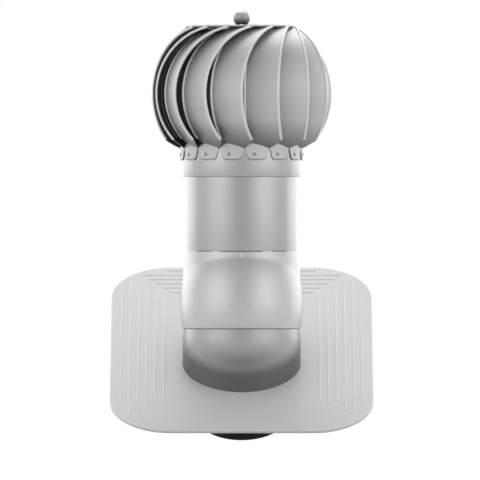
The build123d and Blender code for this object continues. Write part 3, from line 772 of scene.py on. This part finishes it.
# %% Clamp slots
SLOT_HALF = 2.8 * MM
SLOT_IN, SLOT_OUT = 70 * MM, 85 * MM
SLOT_FROM, SLOT_SWEEP = -14, 43
SLOT_STEPS = 24
clamp_tilt = math.radians(68)
clamp_out = outward(115) * math.sin(clamp_tilt) + upward * math.cos(clamp_tilt)
clamp_rays = [Vector((side * clamp_out.x, clamp_out.y, clamp_out.z)) for side in (1, -1)]
slot_section = ((SLOT_IN, -1), (SLOT_OUT, -1), (SLOT_OUT, 1), (SLOT_IN, 1))
for ray in clamp_rays:
    rows = []
    for s in range(SLOT_STEPS + 1):
        along = Matrix.Rotation(math.radians(SLOT_FROM + SLOT_SWEEP * s / SLOT_STEPS), 3, across) @ ray
        sidewise = across.cross(along).normalized().cross(along).normalized() * SLOT_HALF
        rows.append([dome_centre + along * depth + sidewise * sign for depth, sign in slot_section])
    cut(dome, *capped(rows))
print("dome faces after the slots", len(dome.data.polygons))

# %% Plate and ribs in one piece
# Painted highlight: the plate's rounded rim and its ribs are marked to be paler.
RIB_HIGHLIGHT = 0.6
rib_marks = [RIB_HIGHLIGHT] * (len(plate_mesh[0]) - len(rim_marks))
plate_marks = {"worn": rim_marks + rib_marks}
plate = piece("roof_plate", "base", "moulded_plate", plate_plastic, *plate_mesh, plate_marks)
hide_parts("base_plate")

# %% [markdown]
# ## Black spigot
# The spigot is a plain black tube with a rolled lower rim and a flange inside the neck. Two
# cylinders with bevels would do, but one turned section gives the tube, its flange and its
# rounded rims together. Only the tube shows, below the plate.

# %% Spigot
SPIGOT_R = 60.0 * MM
SPIGOT_BORE_R = 57.5 * MM
SPIGOT_LOW = -82.0 * MM
FLANGE_R = 75.9 * MM
FLANGE_T = 4.0 * MM
spigot = turned_piece(
    "spigot_tube", "base", "black_spigot", black_plastic,
    [
        (SPIGOT_BORE_R, FLANGE_T, 0.6 * MM),
        (SPIGOT_BORE_R, SPIGOT_LOW, 0.8 * MM),
        (SPIGOT_R, SPIGOT_LOW, 1.0 * MM),
        (SPIGOT_R, 0, 0),
        (FLANGE_R, 0, 0.2 * MM),
        (FLANGE_R, FLANGE_T, 0.2 * MM),
    ],
    origin, steps=128, axis=roof_normal,
)
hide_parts("duct_spigot")

# %% [markdown]
# ## Hood
# The hood is a height field round the pipe's axis: at each angle and height its radius is
# the larger of the socket's and the bulge's, blended over a millimetre or so. A cone and a
# ball joined by a boolean would leave a hard seam there. The blend gives the soft crease where
# the bulge comes out of the socket.

# %% Hood radius
SOCKET_TOP_R, SOCKET_FOOT_R = 76.5 * MM, 78.4 * MM
SOCKET_H = 33.9 * MM
BULGE_R = 81.7 * MM
BULGE_HALF = 120.0 * MM
CREASE = 0.9 * MM
bulge_z = dome_centre.z + 45.4 * MM
bulge_offset = pipe_y - dome_centre.y
RIM_ROUNDS = 6
relief_start = dome_centre.y + 20.0 * MM
relief_slope = math.tan(math.radians(13.4))


def socket_radius(z):
    """The socket's radius at a height: it widens a little towards its foot."""
    drop = min(socket_top - z, SOCKET_H)
    return SOCKET_TOP_R + (SOCKET_FOOT_R - SOCKET_TOP_R) * drop / SOCKET_H


def bulge_radius(z, angle):
    """The bulge's reach from the pipe's axis; angle is 0 at the front."""
    share = (z - bulge_z) / BULGE_HALF
    if abs(share) >= 1:
        return 0
    reach = BULGE_R * math.sqrt(1 - share * share)
    inside = reach ** 2 - (bulge_offset * math.sin(angle)) ** 2
    return bulge_offset * math.cos(angle) + math.sqrt(max(inside, 0))


def hood_radius(z, angle):
    """The larger of the two radii, with a soft crease where they meet."""
    a, b = socket_radius(z), bulge_radius(z, angle)
    return (a + b + math.sqrt((a - b) ** 2 + CREASE ** 2)) / 2 - CREASE * 0.1


def rim_height(angle):
    """The rim is level in front and rises behind, where the roof comes up."""
    z = hood_rim
    for _ in range(RIM_ROUNDS):
        y = pipe_y - hood_radius(z, angle) * math.cos(angle)
        z = max(hood_rim, hood_rim + (y - relief_start) * relief_slope)
    return z


print("rim behind is higher by", round((rim_height(math.pi) - hood_rim) / MM, 1), "mm")

# %% Hood shell
HOOD_STEPS = 256
HOOD_ROWS = 110
INNER_ROWS = 30
HOOD_WALL = 2.0 * MM
TOP_FLAT = 1.2 * MM
TOP_INSET, TOP_DROP = HOOD_WALL * 0.55, 0.7 * MM
RIM_R = 0.8 * MM
RIM_STEPS = 4


def hood_row(share, inset, lift=0.0):
    """One ring of the hood: share 0 is the socket's top, 1 the rim."""
    row = []
    for s in range(HOOD_STEPS):
        angle = 2 * math.pi * s / HOOD_STEPS
        z = socket_top + (rim_height(angle) - socket_top) * share
        radius = hood_radius(z, angle) - inset
        row.append(on_pipe(z + lift) + outward(math.degrees(angle)) * radius)
    return row


edge_arc = [math.radians(90 * s / RIM_STEPS) for s in range(RIM_STEPS + 1)]
hood_rows = [hood_row(0, TOP_FLAT)]
hood_rows += [hood_row(0, TOP_INSET * (1 - math.sin(a)), -TOP_DROP * (1 - math.cos(a))) for a in edge_arc]
hood_rows += [hood_row((k + 1) / HOOD_ROWS, 0) for k in range(HOOD_ROWS - 1)]
hood_rows += [hood_row(1, RIM_R * (1 - math.cos(a)), RIM_R * (1 - math.sin(a))) for a in edge_arc[::-1]]
hood_rows += [hood_row(1, HOOD_WALL)]
hood_rows += [hood_row(1 - k / INNER_ROWS, HOOD_WALL) for k in range(1, INNER_ROWS)]
hood = piece("hood_shell", "stack", "moulded_hood", hood_plastic, *skin(hood_rows, closed=True))

# %% [markdown]
# ## Rim of the socket
# Thirteen small notches run along the front of the socket's rim, with a long shallow slot to
# either side. They are real openings on the object, so they are cut, not painted. A dark lip
# between the socket and the pipe is a painted shadow: it gives the dark of the gap that shows
# through them.

# %% Notches and slots
NOTCHES = 13
NOTCH_SPREAD = 40
NOTCH_HALF = 1.5 * MM
NOTCH_DEPTH = 6 * MM
RIM_SLOT_FROM, RIM_SLOT_SWEEP = 32, 19
RIM_SLOT_DROP, RIM_SLOT_RISE = 1 * MM, 2 * MM
RIM_SLOT_IN, RIM_SLOT_OUT = 70 * MM, 82 * MM
RIM_SLOT_STEPS = 16
for k in range(NOTCHES):
    azimuth = NOTCH_SPREAD * (k / (NOTCHES - 1) - 0.5)
    ray = outward(azimuth)
    half = (ray * NOTCH_DEPTH, outward(azimuth + 90) * NOTCH_HALF, upward * NOTCH_HALF)
    cut(hood, *block(on_pipe(socket_top) + ray * SOCKET_TOP_R, half))
slot_low = on_pipe(socket_top - RIM_SLOT_DROP)
slot_high = on_pipe(socket_top + RIM_SLOT_RISE)
slot_corners = [(radius, slot_low) for radius in (RIM_SLOT_IN, RIM_SLOT_OUT)]
slot_corners += [(radius, slot_high) for radius in (RIM_SLOT_OUT, RIM_SLOT_IN)]
slot_turns = [RIM_SLOT_FROM + RIM_SLOT_SWEEP * s / RIM_SLOT_STEPS for s in range(RIM_SLOT_STEPS + 1)]
for side in (-1, 1):
    rows = [[level + outward(side * a) * radius for radius, level in slot_corners] for a in slot_turns]
    cut(hood, *capped(rows))
print("hood faces after the cuts", len(hood.data.polygons))

# %% Dark lip between the socket and the pipe, a painted shadow
SOCKET_GAP = 0.3 * MM
LIP_GAP = 0.05 * MM
LIP_DEPTH, LIP_SUNK = 4 * MM, 0.1 * MM
lip_in, lip_out = pipe_r + LIP_GAP, pipe_r + SOCKET_GAP - LIP_GAP
lip_low, lip_high = socket_top - LIP_DEPTH, socket_top - LIP_SUNK
turned_piece(
    "socket_lip", "stack", "black_spigot", gap_shadow,
    [(lip_in, lip_low, 0), (lip_out, lip_low, 0), (lip_out, lip_high, 0), (lip_in, lip_high, 0)],
    on_pipe(0),
)

# %% [markdown]
# ## Index mark and clamp bosses
# The mark is a pair of small raised bars under the notches, paler than the hood. The bosses
# carry the clamp screws behind, out of the photograph's sight. The bars are blocks with a wide
# bevel, because at this size only their rounded edges show.

# %% Index bars
BAR_DROP, BAR_APART, BAR_SUNK = 6.1 * MM, 1.3 * MM, 0.2 * MM
BAR_BEVEL = 0.65 * MM
bar_half = (across * 0.75 * MM, Vector((0, 1.1 * MM, 0)), upward * 3.1 * MM)
bar_z = socket_top - BAR_DROP
bar_y = -socket_radius(bar_z) + BAR_SUNK
bars = [block(on_pipe(bar_z) + Vector((side * BAR_APART, bar_y, 0)), bar_half) for side in (-1, 1)]
index_mark = piece("index_mark", "stack", "moulded_hood", pale_mark, *merged(bars))
soften = index_mark.modifiers.new("soften", "BEVEL")
soften.width = BAR_BEVEL
soften.segments = 4

# %% Clamp bosses
BOSS_BORE_R, BOSS_R = 2.6 * MM, 6.5 * MM
BOSS_LOW, BOSS_HIGH = 79.3 * MM, 90.5 * MM
boss_outline = rounded(
    [
        (BOSS_BORE_R, BOSS_LOW, 0),
        (BOSS_R, BOSS_LOW, 0),
        (BOSS_R, BOSS_HIGH, 0.8 * MM),
        (BOSS_BORE_R, BOSS_HIGH, 0),
    ]
)
boss_parts = []
for ray in clamp_rays:
    level_way = ray.cross(upward).normalized()
    rows = turned_rows(boss_outline, dome_centre, ray, level_way, steps=32)
    boss_parts.append(skin(rows, closed=True))
piece("clamp_bosses", "stack", "moulded_hood", hood_plastic, *merged(boss_parts))
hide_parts("hood")

# %% [markdown]
# ## Pipe, collar, disc and washer
# Each is turned or rolled sheet with softened edges. Cylinders with a bevel modifier would do
# for three of them, but the disc's edge is folded down into a short lip that hides the vanes'
# heads, so all four are spun from an outline of corners, each with its own radius.

# %% Pipe
ROLLED = 0.3 * MM
INNER_ROLL = 0.2 * MM
PIPE_WALL = 1 * MM
pipe_bore_r = pipe_r - PIPE_WALL
pipe = turned_piece(
    "pipe_tube", "stack", "coated_pipe", pipe_coat,
    [
        (pipe_bore_r, pipe_low, INNER_ROLL),
        (pipe_r, pipe_low, ROLLED),
        (pipe_r, pipe_high, ROLLED),
        (pipe_bore_r, pipe_high, INNER_ROLL),
    ],
    on_pipe(0),
)
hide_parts("stack_pipe")

# %% Collar
COLLAR_BORE_R, COLLAR_R = 79.5 * MM, 80.5 * MM
collar = turned_piece(
    "collar_band", "rotor", "coated_sheet", collar_coat,
    [
        (COLLAR_BORE_R, collar_low, ROLLED),
        (COLLAR_R, collar_low, 0.4 * MM),
        (COLLAR_R, collar_high, ROLLED),
        (COLLAR_BORE_R, collar_high, ROLLED),
    ],
    on_pipe(0),
)
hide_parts("collar_ring")

# %% Disc
SHAFT_HOLE_R = 4.1 * MM
DISC_R, DISC_LIP_R = 70.7 * MM, 69.3 * MM
DISC_LIP_H = 1.3 * MM
disc_lip_low = disc_low - DISC_LIP_H
disc = turned_piece(
    "crown_disc", "rotor", "coated_sheet", disc_coat,
    [
        (SHAFT_HOLE_R, disc_low, 0),
        (DISC_LIP_R, disc_low, 0.1 * MM),
        (DISC_LIP_R, disc_lip_low, ROLLED),
        (DISC_R, disc_lip_low, 0.5 * MM),
        (DISC_R, disc_high, 0.4 * MM),
        (SHAFT_HOLE_R, disc_high, 0),
    ],
    on_pipe(0),
)
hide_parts("top_disc")

# %% Washer
WASHER_R = 8.5 * MM
washer = turned_piece(
    "crown_washer", "rotor", "bright_steel", bright_steel,
    [
        (SHAFT_HOLE_R, disc_high, 0),
        (WASHER_R, disc_high, INNER_ROLL),
        (WASHER_R, knob_low, ROLLED),
        (SHAFT_HOLE_R, knob_low, 0),
    ],
    on_pipe(0), steps=64,
)
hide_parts("top_washer")

# %% [markdown]
# ## Knob
# The knob is a turned steel ball with a small flat foot that screws down on the washer. A ball
# primitive would have no flat, so an arc from the flat to the top is spun about the axis.

# %% Knob
KNOB_R = 11.0 * MM
KNOB_FLAT = 7.0 * MM
KNOB_EDGE, KNOB_EDGE_IN = 0.35 * MM, 0.4 * MM
KNOB_STEPS = 40
knob_centre = knob_low + math.sqrt(KNOB_R ** 2 - KNOB_FLAT ** 2)
knob_start = math.acos((knob_low + KNOB_EDGE - knob_centre) / KNOB_R)
knob_turns = [knob_start * (1 - s / KNOB_STEPS) for s in range(KNOB_STEPS + 1)]
knob_outline = [(SHAFT_HOLE_R, knob_low), (KNOB_FLAT - KNOB_EDGE_IN, knob_low)]
knob_outline += [(KNOB_R * math.sin(a), knob_centre + KNOB_R * math.cos(a)) for a in knob_turns]
knob_rows = turned_rows(knob_outline, on_pipe(0), upward, across, steps=96)
knob = piece("round_knob", "rotor", "satin_knob", knob_steel, *skin(knob_rows))
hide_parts("ball_knob")

# %% [markdown]
# ## Rivets
# A domed rivet head is a small turned cap, with its set tail on the far side of the sheets.
# Thirty linked copies of one mesh would be lighter, but each ring of fifteen is one piece in
# the CAD model too, so a function makes the rivet and each ring is merged.

# %% Rivets
VANES = 15
VANE_STEP = 360 / VANES
HEAD_R, HEAD_H = 2.5 * MM, 1.3 * MM
HEAD_EDGE, HEAD_SUNK = 0.12 * MM, 0.4 * MM
HEAD_STEPS = 7
SHANK_R, TAIL_R = 1.5 * MM, 2.2 * MM
TAIL_H, TAIL_DOME = 0.7 * MM, 0.1 * MM
COLLAR_GRIP, DISC_GRIP = 2.15 * MM, 2.05 * MM
TAB_R = 81.6 * MM
TAB_RIVET_Z = 280 * MM
FIRST_TAB_RIVET = -12
DISC_RIVET_R = 45 * MM


def rivet(place, axis, side, grip):
    """A domed head, and the shank with its set tail past the sheets that it grips."""
    head = [(HEAD_R, -HEAD_SUNK), (HEAD_R, HEAD_EDGE)]
    for s in range(1, HEAD_STEPS + 1):
        angle = math.radians(90 * s / HEAD_STEPS)
        head.append((HEAD_R * math.cos(angle), HEAD_EDGE + (HEAD_H - HEAD_EDGE) * math.sin(angle)))
    end = -grip - TAIL_H
    tail = [(SHANK_R, 0), (SHANK_R, -grip), (TAIL_R, -grip), (TAIL_R, end), (0, end - TAIL_DOME)]
    return [
        skin(turned_rows(head, place, axis, side, steps=28)),
        skin(turned_rows(tail, place, axis, side, steps=20)),
    ]


collar_parts, disc_parts = [], []
for k in range(VANES):
    ray = outward(FIRST_TAB_RIVET + VANE_STEP * k)
    collar_parts += rivet(on_pipe(TAB_RIVET_Z) + ray * TAB_R, ray, upward, COLLAR_GRIP)
    spot = on_pipe(disc_high) + outward(VANE_STEP * k) * DISC_RIVET_R
    disc_parts += rivet(spot, upward, across, DISC_GRIP)
collar_rivets = piece("collar_rivet_set", "rotor", "bright_steel", rivet_steel, *merged(collar_parts))
disc_rivets = piece("disc_rivet_set", "rotor", "bright_steel", rivet_steel, *merged(disc_parts))
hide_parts("collar_rivets")
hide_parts("top_rivets")

# %% [markdown]
# ## Vanes
# A vane is a strip of sheet bent to a circular arc in an upright plane and run out sideways,
# so a point on it needs only the arc's angle and a distance along the chord. The strip's two
# long edges are hemmed, its foot is folded onto the collar, and its head lies under the disc.
# A flat grid could be bent by modifiers, but a formula lets each edge be trimmed where it
# should be. One vane is worked out, and turned copies make the other fourteen.

# %% The vane's surface
ROTOR_R = 120.0 * MM
MID_Z = 360.9 * MM
ARC_R = 91.3 * MM
SHEET = 1.0 * MM
START_AZIMUTH = 0.5
LEAN = 35
CHORD_AZIMUTH = -115.4
vane_start = outward(START_AZIMUTH) * ROTOR_R
vane_in = outward(180 - LEAN + START_AZIMUTH)
vane_along = outward(CHORD_AZIMUTH)


def inward_of(angle):
    """How far the arc has come in from the rotor's widest height."""
    return ARC_R * (1 - math.cos(angle))


def vane_point(angle, along, lift=0.0):
    """A point on the vane's outer face; lift moves it off the face."""
    place = vane_start + vane_in * inward_of(angle) + vane_along * along
    face = vane_in * -math.cos(angle) + upward * math.sin(angle)
    return on_pipe(MID_Z + ARC_R * math.sin(angle)) + place + face * lift


print("rotor radius", ROTOR_R, "arc radius", ARC_R)

# %% Trims of the strip
CHORD, HEAD_CHORD = 48.0 * MM, 24.0 * MM
HEAD_TAPER_FROM, HEAD_TAPER = 50.0 * MM, 14.0 * MM
NEAR_TRIM_FROM, NEAR_TRIM_SLOPE = 25.0 * MM, 20.4 / 11.8
FAR_TRIM_FROM, FAR_TRIM_SLOPE = 24.0 * MM, 7.0 / 5.0
TAB_REACH = TAB_R - 0.4 * MM


def near_edge(angle):
    """Where the outer edge lies along the chord; it is cut back at the foot."""
    if angle > 0:
        return 0
    return max(0, inward_of(angle) - NEAR_TRIM_FROM) * NEAR_TRIM_SLOPE


def far_edge(angle):
    """Where the inner edge lies; it tapers at the head and ends on the collar at the foot."""
    inward = inward_of(angle)
    if angle > 0:
        taper = (inward - HEAD_TAPER_FROM) / HEAD_TAPER * (CHORD - HEAD_CHORD)
        return max(HEAD_CHORD, min(CHORD, CHORD - taper))
    taper = min(CHORD, CHORD - (inward - FAR_TRIM_FROM) * FAR_TRIM_SLOPE)
    start = vane_start + vane_in * inward
    reach = -start.dot(vane_along)
    under = reach ** 2 - (start.length_squared - TAB_REACH ** 2)
    return min(taper, reach - math.sqrt(under)) if under > 0 else taper


print("chord at mid height", far_edge(0))

# %% [markdown]
# ## The strip and its hems
# The strip is a thin sheet: two faces joined round their edge. A solidify modifier would give
# the same, but here the points of both faces are known, so each can carry a mark that says how
# much painted shade it gets. Each hem is a flat rounded tube that hides the strip's edge.

# %% Strip and hems
FOOT = math.radians(-53.2)
HEAD_GAP = 0.7 * MM
HEAD = math.asin((disc_low - HEAD_GAP - MID_Z) / ARC_R)
# Painted shade at the vane's foot: how far up the arc it reaches and its share there.
FOOT_SHADE_SPAN, FOOT_SHADE_SHARE = math.radians(30), 0.85
COVER_POWER = 1.3
ROWS, COLUMNS = 84, 14
NARROWEST = 0.1 * MM
HEM_HALF_WIDTH, HEM_HALF_HEIGHT = 2.0 * MM, 1.7 * MM
HEM_LAP = 0.2 * MM
HEM_STEPS = 16
OUTER_HEM_FOOT = math.radians(-43)
INNER_HEM_FOOT, INNER_HEM_HEAD = math.radians(-42), math.radians(62)
angles = [FOOT + (HEAD - FOOT) * r / ROWS for r in range(ROWS + 1)]


def closed_sheet(front_rows, back_rows):
    """A thin sheet from the rows of its two faces, joined round their edge."""
    loops = [front + back[::-1] for front, back in zip(front_rows, back_rows)]
    verts, faces = skin(loops)
    width = len(loops[0])
    for start in (0, len(verts) - width):
        for c in range(width // 2 - 1):
            faces.append((start + c, start + c + 1, start + width - 2 - c, start + width - 1 - c))
    return verts, faces


def strip_row(angle, lift):
    """Points from the strip's outer edge to its inner one at an angle of the arc."""
    near = near_edge(angle)
    width = max(far_edge(angle) - near, NARROWEST)
    return [vane_point(angle, near + width * c / COLUMNS, lift) for c in range(COLUMNS + 1)]


def strip_cover():
    """How much painted shade each point gets: most beside the next vane, at the head and the foot."""
    across_strip = [c / COLUMNS for c in range(COLUMNS + 1)]
    shares = []
    for angle in angles:
        end = min((angle / HEAD) ** 2, 1.0)
        foot = max(0.0, 1 - (angle - FOOT) / FOOT_SHADE_SPAN)
        unshaded = [1 - share ** COVER_POWER * (0.5 + 0.5 * end) for share in across_strip]
        row = [1 - share * (1 - FOOT_SHADE_SHARE * foot) for share in unshaded]
        shares += row + row[::-1]
    return shares


def hem(low, high, edge, sign):
    """A folded edge: a flat rounded tube that follows the vane's edge."""
    loops = []
    for angle in [a for a in angles if low <= a <= high]:
        centre = edge(angle) + sign * (HEM_HALF_WIDTH - HEM_LAP)
        loop = []
        for s in range(HEM_STEPS):
            turn = 2 * math.pi * s / HEM_STEPS
            rise = HEM_HALF_HEIGHT * math.sin(turn) - SHEET / 2
            loop.append(vane_point(angle, centre + HEM_HALF_WIDTH * math.cos(turn), rise))
        loops.append(loop)
    return capped(loops)


strip = closed_sheet(*([strip_row(angle, lift) for angle in angles] for lift in (0, -SHEET)))
outer_hem = hem(OUTER_HEM_FOOT, HEAD, near_edge, 1)
inner_hem = hem(INNER_HEM_FOOT, INNER_HEM_HEAD, far_edge, -1)
print("strip points", len(strip[0]), "hem points", len(outer_hem[0]) + len(inner_hem[0]))

# %% [markdown]
# ## Foot tab and head tab
# The foot tab is a rounded trapezoid rolled onto the collar, with its upper edge along the
# fold. It could be cut from a cylinder, but a cut leaves long thin faces that shade badly, so
# each of its columns of points runs from the lower edge to the fold. The head tab is a flat
# tongue with two round ends, which needs no more than one outline.

# %% Foot tab
TAB_MID = -9.3
TAB_HALF = 16.5 * MM
TAB_LOW, TAB_TOP = 272.2 * MM, 289.0 * MM
TAB_FLAT, TAB_CORNER = 7.9 * MM, 12.7 * MM
TAB_CORNER_RISE = 4.0 * MM
PEAK_X, PEAK_Z = -6.5 * MM, 294.6 * MM
RIGHT_BOW, LEFT_BOW = 0.25, 0.5
TAB_COLUMNS, TAB_ROWS = 36, 8


def tab_bottom(x):
    """The rounded trapezoid's lower edge at a distance across the tab."""
    reach = abs(x)
    if reach <= TAB_FLAT:
        return TAB_LOW
    if reach <= TAB_CORNER:
        return TAB_LOW + TAB_CORNER_RISE * ((reach - TAB_FLAT) / (TAB_CORNER - TAB_FLAT)) ** 2
    side_low = TAB_LOW + TAB_CORNER_RISE
    return side_low + (TAB_TOP - side_low) * (reach - TAB_CORNER) / (TAB_HALF - TAB_CORNER)


def tab_top(x):
    """The fold: it climbs from the right notch to a peak, then drops to the left one."""
    share, bow = (x + TAB_HALF) / (PEAK_X + TAB_HALF), LEFT_BOW
    if x > PEAK_X:
        share, bow = (TAB_HALF - x) / (TAB_HALF - PEAK_X), RIGHT_BOW
    return TAB_TOP + (PEAK_Z - TAB_TOP) * ((1 + bow) * share - bow * share ** 2)


def tab_row(radius, r):
    """Points across the tab, row r of those between its lower edge and the fold."""
    row = []
    for c in range(TAB_COLUMNS + 1):
        x = -TAB_HALF + 2 * TAB_HALF * c / TAB_COLUMNS
        low, high = tab_bottom(x), tab_top(x)
        azimuth = TAB_MID + math.degrees(math.asin(x / TAB_R))
        row.append(on_pipe(low + (high - low) * r / TAB_ROWS) + outward(azimuth) * radius)
    return row


def tab_cover():
    """Painted shadow: 1 along the tab's sides and lower edge, where it lies on the collar."""
    row = [1.0] + [0.0] * (TAB_COLUMNS - 1) + [1.0]
    lowest = [1.0] * (TAB_COLUMNS + 1)
    return lowest * 2 + (row + row[::-1]) * TAB_ROWS


tab_faces = ([tab_row(radius, r) for r in range(TAB_ROWS + 1)] for radius in (TAB_R, TAB_R - SHEET))
foot_tab = closed_sheet(*tab_faces)
print("foot tab points", len(foot_tab[0]))

# %% Head tab
TIP_R, ROOT_R = 6.5 * MM, 8.0 * MM
ROOT_IN, ROOT_ALONG = 76 * MM, 11 * MM
DISC_GAP = 0.02 * MM
END_STEPS = 16
tip = outward(VANE_STEP) * DISC_RIVET_R
root = vane_start + vane_in * ROOT_IN + vane_along * ROOT_ALONG
tab_way = (root - tip).normalized()
tab_side = upward.cross(tab_way)
trim = math.degrees(math.asin((ROOT_R - TIP_R) / (root - tip).length))
tongue = []
for centre, radius, first, lean in ((tip, TIP_R, 90, -trim), (root, ROOT_R, -90, trim)):
    for s in range(END_STEPS + 1):
        angle = math.radians(first + 180 * s / END_STEPS + lean * (1 - 2 * s / END_STEPS))
        tongue.append(centre + (tab_way * math.cos(angle) + tab_side * math.sin(angle)) * radius)
head_tab = capped([[on_pipe(z) + p for p in tongue] for z in (disc_low - SHEET, disc_low - DISC_GAP)])
print("head tab points", len(head_tab[0]))

# %% [markdown]
# ## Fifteen vanes
# The strip, its hems and its tabs become one mesh with two marks that the coat reads: one,
# folded, for a painted highlight on the hems, and one for painted shade. An array modifier would
# turn the copies too, but each vane is a node of its own in the CAD model, so each is a piece of
# its own here.

# %% One vane, turned fifteen times
vane_parts = [strip, outer_hem, inner_hem, foot_tab, head_tab]
vane_verts, vane_faces = merged(vane_parts)
plain = [[0.0] * len(part[0]) for part in vane_parts]
hems = [1.0] * (len(outer_hem[0]) + len(inner_hem[0]))
marks = {
    "folded": plain[0] + hems + plain[3] + plain[4],
    "painted_shade": strip_cover() + plain[1] + plain[2] + tab_cover() + plain[4],
}
for number in range(VANES):
    turn = Matrix.Rotation(2 * math.pi * number / VANES, 3, upward)
    turned_verts = [on_pipe(0) + turn @ (Vector(v) - on_pipe(0)) for v in vane_verts]
    name = f"vane_{number + 1:02d}"
    sheet = piece(f"{name}_sheet", "rotor", "coated_vane", vane_coat, turned_verts, vane_faces, marks)
    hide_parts(name)

# %% [markdown]
# ## Finishes for the pieces inside
# The bracket, shaft, bearings and screws hardly show. New meshes would add nothing, so they
# keep their CAD meshes and only get a steel finish and smooth shading.

# %% Inner pieces
zinc_nodes = ("bearing_bracket", "bearing_housing", "rotor_hub")
for name, node in nodes.items():
    node.data.materials.clear()
    node.data.materials.append(zinc_steel if name in zinc_nodes else bright_steel)
    if not node.hide_render:
        smooth(node.data)
print("CAD nodes that show", sum(not node.hide_render for node in nodes.values()))
